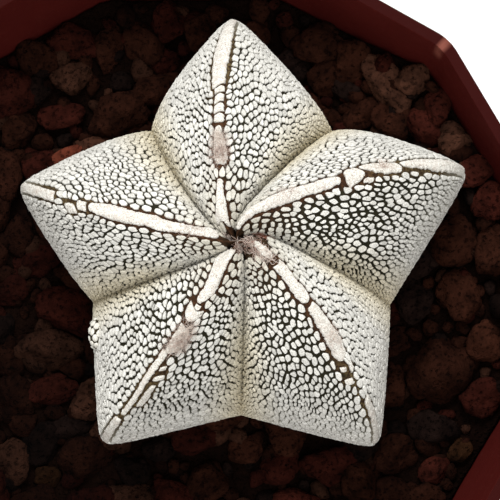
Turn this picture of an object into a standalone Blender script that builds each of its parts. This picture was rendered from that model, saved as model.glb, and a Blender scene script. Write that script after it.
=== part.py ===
"""Potted bishop's cap cactus.

A five-ribbed cactus covered in white flecks stands in a bed of dark lava gravel, in a thin
twelve-sided plastic pot. Run with: blender --background --python part.py
Units are metres with +Z up. The origin is the middle of the pot's base, and the pot's flat
sides face the X and Y axes.
"""

import math
import random

import bmesh
import bpy
from mathutils import Matrix, Vector, noise

MM = 0.001
GAP = 0.3 * MM  # left between neighbouring pieces
SHARP_ANGLE = math.radians(30)
ROUND_PROFILE = 0.5  # of a bevel

# Pot
POT_SIDES = 12
POT_HEIGHT = 80 * MM
RIM_REACH = 45 * MM  # from the axis to a flat of the rim, so the pot is 90 mm across
RIM_DEPTH = 7 * MM  # height of the band under the rim
RIM_STEP = 0.6 * MM  # how far the band stands out from the wall
WALL = 0.8 * MM
TAPER = 0.125  # how much the wall leans in for each unit of depth
CORNER_RADIUS = 5.5 * MM  # of the upright edges
CORNER_STEPS = 3
FLOOR_UNDERSIDE = 3 * MM
FLOOR_TOP = 4.2 * MM
FOOT_WIDTH = 2.2 * MM  # of the ring that the pot stands on
FOOT_NOTCH = (8 * MM, 2 * MM)  # width and height of the drainage notches in the foot
FOOT_NOTCH_BEARINGS = (30, 90, 150)  # each notch cutter runs right across the pot
DRAIN_RADIUS = 3.5 * MM
DRAIN_CIRCLE = 19 * MM
DRAIN_COUNT = 6
DRAIN_STEPS = 16
OVERCUT = 2 * MM  # how far a cutter runs past what it cuts

# Gravel
GRAVEL_LEVEL = 62.5 * MM  # of the grit that the stones are sunk in, at the plant
HEAP_BEARING = 30  # the gravel is heaped against the wall here
HEAP_HEIGHT = 9 * MM
BANK_BEARING = 130  # and banked a little against the wall here
BANK_HEIGHT = 3 * MM
GRIT_RELIEF = 0.5 * MM  # height of the grit's ripples
GRIT_RIPPLE = 2.5 * MM  # and their scale
GRIT_CELLS = 10  # the grit's surface is a grid of this many cells each way
STONE_FLATNESS = 0.72  # height of a stone against its width
STONE_LIFT = 0.10  # share of a stone's width that its middle stands above the grit
STONE_SPREAD = 1.14  # makes up for the corners that an angular stone lacks
STONE_ROUGHNESS = 0.13
STONE_SEED = 11
FILL_TRIES = 6000
FILL_ACROSS = (4.2 * MM, 6.4 * MM)
FILL_STRETCH = (1.05, 1.5)  # length of a filling stone against its width
FILL_OVERLAP = 0.44  # of two stones' widths, the least distance between their middles
FILL_TO_PLANT = 0.25  # of a stone's width, the least distance from its middle to the body
STONE_TILT = 0.35

# The larger stones, hand placed: middle x and y, length, width in millimetres, turn in degrees
PLACED_STONES = (
    (17.5, 36.0, 7.0, 5.4, 5),
    (25.6, 29.6, 9.0, 4.6, -58),
    (30.0, 30.4, 4.8, 3.8, 10),
    (33.0, 26.6, 5.2, 3.4, 70),
    (36.0, 22.4, 4.2, 3.6, 20),
    (37.8, 18.4, 4.6, 3.6, 35),
    (22.4, 25.8, 5.6, 4.0, 60),
    (20.4, 29.2, 3.6, 3.2, 0),
    (30.8, 23.6, 5.6, 4.6, -20),
    (17.6, 31.0, 5.6, 4.4, 80),
    (13.0, 33.0, 3.8, 3.2, 0),
    (7.8, 36.6, 4.8, 4.2, 15),
    (1.4, 37.4, 5.6, 4.6, 70),
    (-3.4, 33.4, 3.8, 3.4, 0),
    (-6.2, 35.6, 6.2, 4.8, -62),
    (-10.9, 35.2, 6.4, 3.8, 74),
    (-9.0, 30.6, 3.0, 2.8, 0),
    (-9.2, 26.4, 8.0, 6.8, 5),
    (-15.8, 31.4, 5.4, 4.6, 32),
    (-20.4, 34.2, 6.0, 4.6, -30),
    (-20.6, 29.4, 4.2, 3.6, 0),
    (-16.9, 26.0, 5.8, 3.4, 8),
    (-22.6, 24.2, 5.4, 4.0, 82),
    (-15.8, 20.6, 8.0, 3.6, 22),
    (-22.6, 10.4, 5.2, 4.0, 85),
    (-23.6, 3.6, 5.0, 4.2, 20),
    (-23.8, -5.8, 4.8, 4.2, 0),
    (-18.2, -4.8, 8.6, 5.6, 10),
    (-18.7, -9.8, 8.2, 3.8, 6),
    (-22.0, -14.0, 4.8, 3.2, -22),
    (-15.8, -14.6, 5.6, 3.6, 12),
    (-23.2, -19.2, 5.8, 4.6, 75),
    (-13.6, -18.6, 6.8, 5.8, 50),
    (-18.7, -21.2, 3.6, 3.2, 0),
    (-7.4, -20.0, 4.4, 3.8, 0),
    (-4.0, -17.4, 4.0, 3.4, 30),
    (-7.8, -23.8, 7.6, 3.6, 3),
    (1.4, -15.8, 7.2, 4.4, 4),
    (7.2, -17.4, 4.4, 3.8, 40),
    (11.6, -19.8, 5.6, 4.8, 20),
    (18.0, -19.6, 7.6, 5.0, 12),
    (26.4, -18.2, 5.6, 5.0, 30),
    (26.2, -23.2, 5.2, 4.4, 0),
    (31.8, -20.2, 4.4, 3.4, 25),
    (31.6, -14.8, 6.0, 4.8, 15),
    (34.8, -17.6, 3.4, 3.0, 60),
    (32.4, -6.8, 9.0, 8.4, 20),
    (38.2, -3.6, 5.0, 4.4, 80),
    (37.8, -10.8, 5.0, 4.4, 40),
    (26.6, -3.4, 4.4, 3.0, 52),
    (29.2, 1.8, 6.2, 4.4, 80),
    (34.8, 2.4, 6.6, 5.6, 75),
    (34.4, 9.4, 6.8, 6.2, 30),
    (38.4, 13.6, 5.2, 4.0, 70),
)

# Cactus: its axis and its soil line in the pot, then one bearing and reach for each ridge and
# for each valley that follows it, counter-clockwise from above. Ridges and valleys turn round
# the axis as they leave the crown: a swing fades evenly, a curl fades close to the crown.
PLANT_X = 7.0 * MM
PLANT_Y = 6.8 * MM
SOIL_LINE = 65 * MM
RIDGE_BEARINGS = (19.8, 91.6, 163.2, 234.2, 305.2)
RIDGE_REACHES = (30.6 * MM, 30.2 * MM, 29.4 * MM, 29.6 * MM, 29.7 * MM)
VALLEY_BEARINGS = (53.6, 125.6, 197.4, 270.0, 341.4)
VALLEY_REACHES = (19.2 * MM, 19.2 * MM, 19.2 * MM, 19.7 * MM, 19.4 * MM)
RIDGE_SWINGS, RIDGE_CURLS = (17, 10, 7, 6, 18), (64, 36, 20, 15, 42)  # degrees at the crown
VALLEY_SWINGS, VALLEY_CURLS = (12, 13, 5, 4, 12), (48, 27, 30, 38, 70)
FLANK_SWELLS = (1.1, 0.7, 1.1, 0.7, 0.4, 0, 0, 0.1, 0.1, 0)  # in mm, from the first ridge on
RIDGE_SHOULDER = 11 * MM  # height of a rib's widest point above the soil line
RIDGE_RISE = 17.5 * MM  # from there up to the crown
RIDGE_TUCK = 20.9 * MM  # half height of the ellipse that a ridge follows down to the root
VALLEY_SHOULDER = 8.6 * MM
VALLEY_RISE = 15.9 * MM
VALLEY_TUCK = 24.7 * MM
VALLEY_POWER = 1.3  # of the superellipse that a valley follows up to the crown
RIDGE_ROUNDING = math.radians(1.85)
FLANK_SLANT = 0.34  # share of a flank's fall that is even from ridge to valley
FLANK_POWER = 5  # the rest gathers towards the valley with this power
CROWN_DIP = 1.6 * MM
CROWN_DIP_REACH = 2.0 * MM
FLANK_FACING = math.cos(math.radians(50))  # of the angle between a flank and its radius
CURL_FADE = 0.15  # spread over which a curl falls to about a third
SWELL_SHAPE = 4  # makes a swell's share 1 halfway between ridge and valley
FLANK_COLUMNS = 7  # mesh columns from a ridge to a valley
UPPER_RINGS = 14  # mesh rings from the crown to the widest point
LOWER_RINGS = 4  # from there to the soil line
BURIED_DEPTH = 4 * MM
BASE_DEPTH = 5.5 * MM
ROOT_DEPTH = 26 * MM
ROOT_RADII = (1.2 * MM, 5.5 * MM)  # at the tip and where it meets the body
ROOT_SIDES = 12
GROOVE_DEPTH = 0.25 * MM  # how far the grooves between flecks lie under the skin
FLECK_RISE = (0.44, 0.58)  # height of a fleck above its grooves against its half width
FLECK_CELL = 1.2 * MM * MM  # area of the smallest cell that has a fleck
FLECK_CLEARANCE = 0.7 * MM  # room for the flecks where stones lean on the body
FLECK_SEED = 5
AREOLE_STATIONS = (0.22, 0.38, 0.54, 0.70, 0.86)  # along a ridge from crown to widest point
AREOLE_RADII = (0.8 * MM, 1.1 * MM)
AREOLE_SHIFT = 0.04  # how far a tuft may stand off its station
AREOLE_SEED = 23
TUFT_SIDES = 6
TUFT_RINGS = 4
TUFT_SINK = 0.5  # share of a tuft's radius that its middle lies under the skin
CROWN_TUFTS = 7
CROWN_TUFT_CIRCLE = (1.4 * MM, 2.2 * MM)  # nearest and furthest middle from the axis
CROWN_TUFT_SHIFT = 0.2  # of the space between two tufts
CROWN_TUFT_DROP = 1.7 * MM  # of the tufts' middles below the tops of the ridges

# Finishes: colour, roughness and metallic value
POT_PLASTIC = ((0.17, 0.035, 0.028, 1.0), 0.45, 0.0)
LAVA_STONE = ((0.06, 0.030, 0.022, 1.0), 0.9, 0.0)
FLECKED_SKIN = ((0.78, 0.77, 0.70, 1.0), 0.8, 0.0)


def clear_scene():
    """Remove whatever objects the file holds."""
    for thing in list(bpy.data.objects):
        bpy.data.objects.remove(thing, do_unlink=True)


def new_collection(name):
    """A collection in the scene."""
    collection = bpy.data.collections.new(name)
    bpy.context.scene.collection.children.link(collection)
    return collection


def new_finish(name, finish):
    """A Principled material from a colour, a roughness and a metallic value."""
    colour, roughness, metallic = finish
    material = bpy.data.materials.new(name)
    material.use_nodes = True
    shader = material.node_tree.nodes["Principled BSDF"]
    shader.inputs["Base Color"].default_value = colour
    shader.inputs["Roughness"].default_value = roughness
    shader.inputs["Metallic"].default_value = metallic
    material.diffuse_color = colour
    return material


def put_in_order(builder):
    """Number a bmesh's elements by their places, which makes each run alike."""
    rank = {vert: place for place, vert in enumerate(sorted(builder.verts, key=lambda v: v.co[:]))}
    builder.verts.sort(key=rank.get)
    for group in (builder.edges, builder.faces):
        ordered = sorted(group, key=lambda element: sorted(rank[vert] for vert in element.verts))
        place = {element: number for number, element in enumerate(ordered)}
        group.sort(key=place.get)


def add_object(name, builder, collection):
    """Turn a bmesh into an object in a collection, and free the bmesh."""
    mesh = bpy.data.meshes.new(name)
    put_in_order(builder)
    builder.normal_update()
    builder.to_mesh(mesh)
    builder.free()
    thing = bpy.data.objects.new(name, mesh)
    collection.objects.link(thing)
    return thing


def shade_round(thing):
    """Shade smooth, with edges kept sharp where faces meet at a wide angle."""
    thing.data.shade_smooth()
    thing.data.set_sharp_from_angle(angle=SHARP_ANGLE)


def as_cutter(thing):
    """Show a cutter as wire only."""
    thing.hide_render = True
    thing.display_type = "WIRE"
    return thing


def boolean(target, other, operation, solver="EXACT"):
    """Leave a live Boolean with another object on the target."""
    modifier = target.modifiers.new(f"{operation.lower()} {other.name}", "BOOLEAN")
    modifier.operation = operation
    modifier.object = other
    modifier.solver = solver


def fuse(target, pieces, solver="EXACT"):
    """Join all the objects of a collection to the target as one body, and remove them."""
    modifier = target.modifiers.new("fuse", "BOOLEAN")
    modifier.operation = "UNION"
    modifier.operand_type = "COLLECTION"
    modifier.collection = pieces
    modifier.solver = solver
    apply_modifiers(target)
    for piece in list(pieces.objects):
        bpy.data.objects.remove(piece, do_unlink=True)
    bpy.data.collections.remove(pieces)


def apply_modifiers(thing):
    """Give an object the mesh that its modifiers make, and clear them."""
    bpy.context.view_layer.update()
    evaluated = thing.evaluated_get(bpy.context.evaluated_depsgraph_get())
    mesh = bpy.data.meshes.new_from_object(evaluated)
    thing.modifiers.clear()
    thing.data = mesh


def shell_of(face):
    """All the faces that join up with one face."""
    shell = {face}
    frontier = [face]
    while frontier:
        for edge in frontier.pop().edges:
            for neighbour in edge.link_faces:
                if neighbour not in shell:
                    shell.add(neighbour)
                    frontier.append(neighbour)
    return shell


def keep_largest_shell(thing):
    """Fill the pockets sealed between fused pieces, and drop scraps cut off by a hole."""
    builder = bmesh.new()
    builder.from_mesh(thing.data)
    shells = []
    loose = set(builder.faces)
    while loose:
        shell = shell_of(next(iter(loose)))
        shells.append(shell)
        loose -= shell
    shells.sort(key=len)
    for shell in shells[:-1]:
        bmesh.ops.delete(builder, geom=list(shell), context="FACES")
    builder.to_mesh(thing.data)
    builder.free()


def wall_reach(z):
    """Distance from the pot's axis to a flat of its outer wall at a height."""
    return RIM_REACH - RIM_STEP - TAPER * (POT_HEIGHT - z)


def tapered_block(name, z_low, z_high, offset, collection):
    """A twelve-sided block that follows the pot's wall, moved outwards by an offset."""
    half_side = math.pi / POT_SIDES
    middle = (z_low + z_high) / 2
    place = Matrix.Translation((0, 0, middle)) @ Matrix.Rotation(half_side, 4, "Z")
    builder = bmesh.new()
    bmesh.ops.create_cone(
        builder,
        cap_ends=True,
        segments=POT_SIDES,
        radius1=(wall_reach(z_low) + offset) / math.cos(half_side),
        radius2=(wall_reach(z_high) + offset) / math.cos(half_side),
        depth=z_high - z_low,
        matrix=place,
    )
    upright = [
        edge for edge in builder.edges if abs(edge.verts[0].co.z - edge.verts[1].co.z) > GAP
    ]
    bmesh.ops.bevel(
        builder,
        geom=upright,
        offset=CORNER_RADIUS * math.tan(half_side),
        segments=CORNER_STEPS,
        profile=ROUND_PROFILE,
        affect="EDGES",
    )
    return add_object(name, builder, collection)


def notch_cutter(bearing, collection):
    """A bar right across the pot's base, which cuts two opposite notches in the foot."""
    width, height = FOOT_NOTCH
    builder = bmesh.new()
    turn = Matrix.Rotation(math.radians(bearing), 4, "Z")
    size = Matrix.Diagonal((2 * RIM_REACH, width, 2 * height, 1))
    bmesh.ops.create_cube(builder, size=1, matrix=turn @ size)
    return as_cutter(add_object(f"cut_notch_{bearing}", builder, collection))


def hole_cutter(name, x, y, collection):
    """A round cutter through the pot's floor."""
    builder = bmesh.new()
    depth = FLOOR_TOP + 2 * OVERCUT
    bmesh.ops.create_cone(
        builder,
        cap_ends=True,
        segments=DRAIN_STEPS,
        radius1=DRAIN_RADIUS,
        radius2=DRAIN_RADIUS,
        depth=depth,
        matrix=Matrix.Translation((x, y, FLOOR_TOP / 2)),
    )
    return as_cutter(add_object(name, builder, collection))


def make_pot(parts, cutters):
    """The thin-walled pot with its rim band, foot ring and drain holes."""
    pot = tapered_block("pot", 0, POT_HEIGHT - RIM_DEPTH / 2, 0, parts)
    bands = new_collection("rim")
    tapered_block("rim_band", POT_HEIGHT - RIM_DEPTH, POT_HEIGHT, RIM_STEP, bands)
    fuse(pot, bands)
    shade_round(pot)
    inside = tapered_block("cut_inside", FLOOR_TOP, POT_HEIGHT + OVERCUT, -WALL, cutters)
    recess = tapered_block("cut_recess", -OVERCUT, FLOOR_UNDERSIDE, -FOOT_WIDTH, cutters)
    boolean(pot, as_cutter(inside), "DIFFERENCE")
    boolean(pot, as_cutter(recess), "DIFFERENCE")
    for bearing in FOOT_NOTCH_BEARINGS:
        boolean(pot, notch_cutter(bearing, cutters), "DIFFERENCE")
    boolean(pot, hole_cutter("cut_drain_middle", 0, 0, cutters), "DIFFERENCE")
    for index in range(DRAIN_COUNT):
        bearing = 2 * math.pi * index / DRAIN_COUNT
        x = DRAIN_CIRCLE * math.cos(bearing)
        y = DRAIN_CIRCLE * math.sin(bearing)
        boolean(pot, hole_cutter(f"cut_drain_{index + 1}", x, y, cutters), "DIFFERENCE")
    return pot


def grit_height(x, y):
    """Height of the grit between the stones, heaped and banked against the wall."""
    bearing = math.atan2(y, x)
    heap = HEAP_HEIGHT * max(0, math.cos(bearing - math.radians(HEAP_BEARING))) ** 4
    bank = BANK_HEIGHT * max(0, math.cos(bearing - math.radians(BANK_BEARING))) ** 2
    nearness = min(1, math.hypot(x, y) / wall_reach(GRAVEL_LEVEL)) ** 3
    return GRAVEL_LEVEL + (heap + bank) * nearness


def held_inside(x, y, half):
    """Move a stone's middle in from the wall until the stone clears each of its sides."""
    limit = wall_reach(grit_height(x, y)) - WALL - GAP - half
    for side in range(POT_SIDES):
        bearing = 2 * math.pi * side / POT_SIDES
        across = x * math.cos(bearing) + y * math.sin(bearing)
        excess = max(0, across - limit)
        x -= excess * math.cos(bearing)
        y -= excess * math.sin(bearing)
    return x, y


def stone_places():
    """Middle, length, width and turn of every stone: the placed ones, then a seeded fill."""
    stones = []
    for x, y, length, width, turn in PLACED_STONES:
        x, y = held_inside(x * MM, y * MM, width * MM / 2)
        stones.append((x, y, length * MM, width * MM, math.radians(turn)))
    draw = random.Random(STONE_SEED)
    reach = wall_reach(GRAVEL_LEVEL)
    for _ in range(FILL_TRIES):
        x = draw.uniform(-reach, reach)
        y = draw.uniform(-reach, reach)
        width = draw.uniform(*FILL_ACROSS)
        length = width * draw.uniform(*FILL_STRETCH)
        turn = draw.uniform(0, math.pi)
        if (x, y) != held_inside(x, y, width / 2):
            continue
        if math.hypot(x - PLANT_X, y - PLANT_Y) < body_reach(x, y) + width * FILL_TO_PLANT:
            continue
        apart = all(
            math.hypot(x - other[0], y - other[1]) > FILL_OVERLAP * (width + other[3])
            for other in stones
        )
        if apart:
            stones.append((x, y, length, width, turn))
    return stones


def add_stone(name, stone, draw, collection):
    """One angular stone, half sunk in the grit."""
    x, y, length, width, turn = stone
    builder = bmesh.new()
    bmesh.ops.create_icosphere(builder, subdivisions=1, radius=STONE_SPREAD / 2)
    for vert in builder.verts:
        vert.co *= 1 + draw.uniform(-STONE_ROUGHNESS, STONE_ROUGHNESS)
    tilt = Matrix.Rotation(draw.uniform(-STONE_TILT, STONE_TILT), 4, "X")
    size = Matrix.Diagonal((length, width, width * STONE_FLATNESS, 1))
    builder.transform(Matrix.Rotation(turn, 4, "Z") @ tilt @ size)
    thing = add_object(name, builder, collection)
    thing.location = (x, y, grit_height(x, y) + STONE_LIFT * width)
    return thing


def make_gravel_bed(parts, cutters):
    """The gravel as one body: grit with stones fused to it, and a hole for the plant."""
    top = POT_HEIGHT - GAP
    inset = -WALL - GAP
    bed = tapered_block("gravel_bed", FLOOR_TOP + GAP, top, inset, parts)
    builder = bmesh.new()
    bmesh.ops.create_grid(
        builder, x_segments=GRIT_CELLS, y_segments=GRIT_CELLS, size=RIM_REACH + OVERCUT
    )
    lifted = bmesh.ops.extrude_face_region(builder, geom=builder.faces[:])
    for vert in builder.verts:
        ripple = GRIT_RELIEF * noise.noise(vert.co / GRIT_RIPPLE)
        vert.co.z = grit_height(vert.co.x, vert.co.y) + ripple
    for element in lifted["geom"]:
        if isinstance(element, bmesh.types.BMVert):
            element.co.z = top + OVERCUT
    bmesh.ops.recalc_face_normals(builder, faces=builder.faces[:])
    above = as_cutter(add_object("cut_above_grit", builder, cutters))
    boolean(bed, above, "DIFFERENCE")
    stones = new_collection("stones")
    draw = random.Random(STONE_SEED)
    for index, stone in enumerate(stone_places()):
        add_stone(f"stone_{index + 1}", stone, draw, stones)
    fuse(bed, stones, "MANIFOLD")
    inside = tapered_block("cut_gravel_to_pot", FLOOR_TOP, top, inset, cutters)
    boolean(bed, as_cutter(inside), "INTERSECT", "MANIFOLD")
    boolean(bed, plant_hole(cutters), "DIFFERENCE", "MANIFOLD")
    apply_modifiers(bed)
    keep_largest_shell(bed)
    return bed


def rib_corner(step, spread=1):
    """Bearing and reach of a ridge (even step) or valley, on a ring spread from 0 to 1."""
    turns, corner = divmod(step, 2 * len(RIDGE_BEARINGS))
    rib, is_valley = divmod(corner, 2)
    bearings = VALLEY_BEARINGS if is_valley else RIDGE_BEARINGS
    reaches = VALLEY_REACHES if is_valley else RIDGE_REACHES
    swings = VALLEY_SWINGS if is_valley else RIDGE_SWINGS
    curls = VALLEY_CURLS if is_valley else RIDGE_CURLS
    turned = swings[rib] * (1 - spread) + curls[rib] * math.exp(-spread / CURL_FADE)
    return math.radians(bearings[rib] + turned) + 2 * math.pi * turns, reaches[rib]


def star_reach(step, part, ridge_scale, valley_scale, spread=1):
    """Bearing and reach of the star outline, and the share of the way from ridge to valley."""
    start, end = rib_corner(step, spread), rib_corner(step + 1, spread)
    ridge, valley = (end, start) if step % 2 else (start, end)
    bearing = start[0] + (end[0] - start[0]) * part
    span = end[0] - start[0]
    off_ridge = min(math.hypot(bearing - ridge[0], RIDGE_ROUNDING), span)
    ridge_reach = ridge[1] * ridge_scale
    valley_reach = valley[1] * valley_scale
    level = ridge_reach * math.sin(off_ridge) + valley_reach * math.sin(span - off_ridge)
    reach = ridge_reach * valley_reach * math.sin(span) / level
    across = off_ridge / span
    swell = FLANK_SWELLS[step % len(FLANK_SWELLS)] * MM * SWELL_SHAPE * across * (1 - across)
    return bearing, reach + swell * ridge_scale, across


def body_reach(x, y):
    """Reach of the body at the soil line towards a point of the gravel."""
    bearing = math.atan2(y - PLANT_Y, x - PLANT_X) % (2 * math.pi)
    tuck = math.sqrt(1 - (RIDGE_SHOULDER / RIDGE_TUCK) ** 2)
    corners = range(-1, 2 * len(RIDGE_BEARINGS))
    step = max(corner for corner in corners if rib_corner(corner)[0] <= bearing)
    start, end = rib_corner(step)[0], rib_corner(step + 1)[0]
    return star_reach(step, (bearing - start) / (end - start), tuck, tuck)[1]


def upper_profile(share):
    """Scale and height of ridge and valley, and spread, from the crown (0) to the widest (1)."""
    scale = math.sin(share * math.pi / 2)
    ridge = RIDGE_SHOULDER + RIDGE_RISE * math.sqrt(1 - scale**2)
    valley = (1 - scale**VALLEY_POWER) ** (1 / VALLEY_POWER)
    return scale, ridge, scale, VALLEY_SHOULDER + VALLEY_RISE * valley, scale


def lower_profile(depth):
    """Scale and height of ridge and valley, and spread, at a depth below the widest point."""
    deepest = RIDGE_SHOULDER + BURIED_DEPTH
    valley_depth = depth * (VALLEY_SHOULDER + BURIED_DEPTH) / deepest
    ridge_scale = math.sqrt(1 - (depth / RIDGE_TUCK) ** 2)
    valley_scale = math.sqrt(1 - (valley_depth / VALLEY_TUCK) ** 2)
    return ridge_scale, RIDGE_SHOULDER - depth, valley_scale, VALLEY_SHOULDER - valley_depth, 1


def skin_point(step, part, profile, clearance=0):
    """A point of the skin, part of the way from one corner of a ring to the next corner."""
    ridge_scale, ridge_height, valley_scale, valley_height, spread = profile
    bearing, reach, across = star_reach(step, part, ridge_scale, valley_scale, spread)
    fall = FLANK_SLANT * across + (1 - FLANK_SLANT) * across**FLANK_POWER
    height = ridge_height + (valley_height - ridge_height) * fall
    height -= CROWN_DIP * math.exp(-((reach / CROWN_DIP_REACH) ** 2))
    reach += clearance / FLANK_FACING
    return Vector((reach * math.cos(bearing), reach * math.sin(bearing), height))


def lower_depths(first):
    """Depth of each mesh ring below the widest point, from the first on to the last, buried one."""
    depths = [RIDGE_SHOULDER * ring / LOWER_RINGS for ring in range(first, LOWER_RINGS + 1)]
    return [*depths, RIDGE_SHOULDER + BURIED_DEPTH]


def shape_sphere(builder, rings, crown, base):
    """Move a new sphere onto the skin, with a profile and a clearance for each ring."""
    columns = 2 * len(RIDGE_BEARINGS) * FLANK_COLUMNS
    spans = len(rings) + 1
    made = bmesh.ops.create_uvsphere(builder, u_segments=columns, v_segments=spans, radius=1)
    for vert in made["verts"]:
        ring = round(math.acos(max(-1, min(1, vert.co.z))) / math.pi * spans)
        if ring == 0:
            vert.co = (0, 0, crown)
        elif ring == spans:
            vert.co = (0, 0, base)
        else:
            column = round(math.atan2(vert.co.y, vert.co.x) / (2 * math.pi) * columns) % columns
            step, part = divmod(column, FLANK_COLUMNS)
            vert.co = skin_point(step, part / FLANK_COLUMNS, *rings[ring - 1])


def make_root(name, clearance, collection):
    """The tap root: a cone from inside the body down into the gravel."""
    builder = bmesh.new()
    top = -BURIED_DEPTH / 2
    bmesh.ops.create_cone(
        builder,
        cap_ends=True,
        segments=ROOT_SIDES,
        radius1=ROOT_RADII[0] + clearance,
        radius2=ROOT_RADII[1] + clearance,
        depth=ROOT_DEPTH + top + clearance,
        matrix=Matrix.Translation((0, 0, (top - ROOT_DEPTH - clearance) / 2)),
    )
    return place_plant(add_object(name, builder, collection))


def place_plant(thing):
    """Stand a piece of the plant at its place in the pot."""
    thing.location = (PLANT_X, PLANT_Y, SOIL_LINE)
    return thing


def plant_hole(cutters):
    """The plant's body and root grown by the gap, and open above its widest point."""
    top = POT_HEIGHT + OVERCUT - SOIL_LINE
    rings = [((1, top, 1, top, 1), GAP + FLECK_CLEARANCE)]
    for depth in lower_depths(first=0):
        room = FLECK_CLEARANCE if depth < RIDGE_SHOULDER else -GROOVE_DEPTH
        rings.append((lower_profile(depth), GAP + room))
    builder = bmesh.new()
    shape_sphere(builder, rings, top, -BASE_DEPTH - GAP)
    hole = place_plant(add_object("cut_plant_hole", builder, cutters))
    roots = new_collection("root_hole")
    make_root("root_hole", GAP, roots)
    fuse(hole, roots)
    return as_cutter(hole)


def raise_flecks(builder):
    """Give each cell of the skin above the soil one low fleck."""
    put_in_order(builder)
    cells = []
    for face in builder.faces:
        if min(vert.co.z for vert in face.verts) > GAP and face.calc_area() > FLECK_CELL:
            cells.append(face)
    draw = random.Random(FLECK_SEED)
    for cell in cells:
        rise = draw.uniform(*FLECK_RISE)
        bmesh.ops.poke(builder, faces=[cell], offset=rise, use_relative_offset=True)


def add_tuft(name, middle, radius, collection):
    """One small round tuft of wool."""
    builder = bmesh.new()
    bmesh.ops.create_uvsphere(
        builder,
        u_segments=TUFT_SIDES,
        v_segments=TUFT_RINGS,
        radius=radius,
        matrix=Matrix.Translation(middle),
    )
    place_plant(add_object(name, builder, collection))


def add_areoles(collection):
    """A row of woolly tufts down each ridge, and a ring of them round the crown."""
    draw = random.Random(AREOLE_SEED)
    for rib in range(len(RIDGE_BEARINGS)):
        for station, share in enumerate(AREOLE_STATIONS):
            share += draw.uniform(-AREOLE_SHIFT, AREOLE_SHIFT) * (1 - share)
            radius = draw.uniform(*AREOLE_RADII)
            middle = skin_point(2 * rib, 0, upper_profile(share))
            inward = middle - Vector((0, 0, RIDGE_SHOULDER))
            middle -= inward.normalized() * radius * TUFT_SINK
            add_tuft(f"areole_{rib + 1}_{station + 1}", middle, radius, collection)
    for index in range(CROWN_TUFTS):
        shift = draw.uniform(-CROWN_TUFT_SHIFT, CROWN_TUFT_SHIFT)
        bearing = 2 * math.pi * (index + shift) / CROWN_TUFTS
        reach = draw.uniform(*CROWN_TUFT_CIRCLE)
        height = RIDGE_SHOULDER + RIDGE_RISE - CROWN_TUFT_DROP
        middle = Vector((reach * math.cos(bearing), reach * math.sin(bearing), height))
        add_tuft(f"crown_tuft_{index + 1}", middle, AREOLE_RADII[1], collection)


def make_cactus(parts):
    """The ribbed body with its flecks, areoles, crown wool and root, grown as one piece."""
    profiles = [upper_profile(ring / UPPER_RINGS) for ring in range(1, UPPER_RINGS + 1)]
    profiles += [lower_profile(depth) for depth in lower_depths(first=1)]
    rings = [(profile, -GROOVE_DEPTH) for profile in profiles]
    crown = RIDGE_SHOULDER + RIDGE_RISE - CROWN_DIP
    builder = bmesh.new()
    shape_sphere(builder, rings, crown, -BASE_DEPTH)
    raise_flecks(builder)
    cactus = place_plant(add_object("cactus", builder, parts))
    growths = new_collection("growths")
    make_root("tap_root", 0, growths)
    add_areoles(growths)
    fuse(cactus, growths)
    keep_largest_shell(cactus)
    shade_round(cactus)
    return cactus


def main():
    """Build the pot, the gravel in it and the cactus in the gravel."""
    clear_scene()
    parts = new_collection("potted_cactus")
    cutters = new_collection("cutters")
    stand = bpy.data.objects.new("pot_base_centre", None)
    parts.objects.link(stand)
    pieces = (
        (make_pot(parts, cutters), "pot_plastic", POT_PLASTIC),
        (make_gravel_bed(parts, cutters), "lava_stone", LAVA_STONE),
        (make_cactus(parts), "flecked_skin", FLECKED_SKIN),
    )
    for thing, finish_name, finish in pieces:
        thing.data.materials.clear()
        thing.data.materials.append(new_finish(finish_name, finish))
        thing.parent = stand


main()
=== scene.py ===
# %% [markdown]
# A potted bishop's cap cactus, seen from above. A CAD model gives the main solids: the pot, the
# bed of gravel and the ribbed plant. This lesson dresses them with what makes the plant look
# alive: thousands of small woolly flecks, bands of wool along the ribs, and loose lava stones.
# The first cell loads the CAD model as a frame that everything else is placed in.

# %% Load the frame
import math
import random

import bpy
import numpy as np
from mathutils import Matrix, Vector, noise


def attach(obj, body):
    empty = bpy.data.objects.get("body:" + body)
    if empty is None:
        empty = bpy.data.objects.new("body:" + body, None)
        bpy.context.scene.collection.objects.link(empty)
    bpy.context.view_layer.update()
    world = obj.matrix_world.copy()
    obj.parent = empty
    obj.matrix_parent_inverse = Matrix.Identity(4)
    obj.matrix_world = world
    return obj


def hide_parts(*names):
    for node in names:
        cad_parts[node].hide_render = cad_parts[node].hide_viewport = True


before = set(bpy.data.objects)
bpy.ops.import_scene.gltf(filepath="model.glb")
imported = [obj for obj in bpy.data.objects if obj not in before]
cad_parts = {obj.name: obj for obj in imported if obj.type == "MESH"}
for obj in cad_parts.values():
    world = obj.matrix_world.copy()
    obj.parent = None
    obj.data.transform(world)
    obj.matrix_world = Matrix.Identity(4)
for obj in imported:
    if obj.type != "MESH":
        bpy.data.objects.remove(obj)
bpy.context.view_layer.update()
MM = 0.001
print("nodes:", sorted(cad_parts))


# %% [markdown]
# Operators in Blender act on whatever is selected, so each new piece starts from an empty
# selection. A mesh that is worked out with arrays of numbers is easier to make straight from its
# points and faces, and that is how the small repeated shapes are gathered into one piece.

# %% Helpers for pieces
def primitive(name, operator, **settings):
    """Add a primitive under its own name, as the only thing selected."""
    bpy.ops.object.select_all(action="DESELECT")
    operator(**settings)
    thing = bpy.context.object
    thing.name = name
    thing.data.name = name
    return thing


def points_of(thing):
    """The places of a mesh's vertices as an array."""
    places = np.empty(len(thing.data.vertices) * 3)
    thing.data.vertices.foreach_get("co", places)
    return places.reshape(-1, 3)


def move_points(thing, places):
    """Put a mesh's vertices at new places."""
    thing.data.vertices.foreach_set("co", np.asarray(places, float).ravel())
    thing.data.update()


def faces_of(thing):
    """The vertex numbers of each face."""
    return [tuple(face.vertices) for face in thing.data.polygons]


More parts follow.
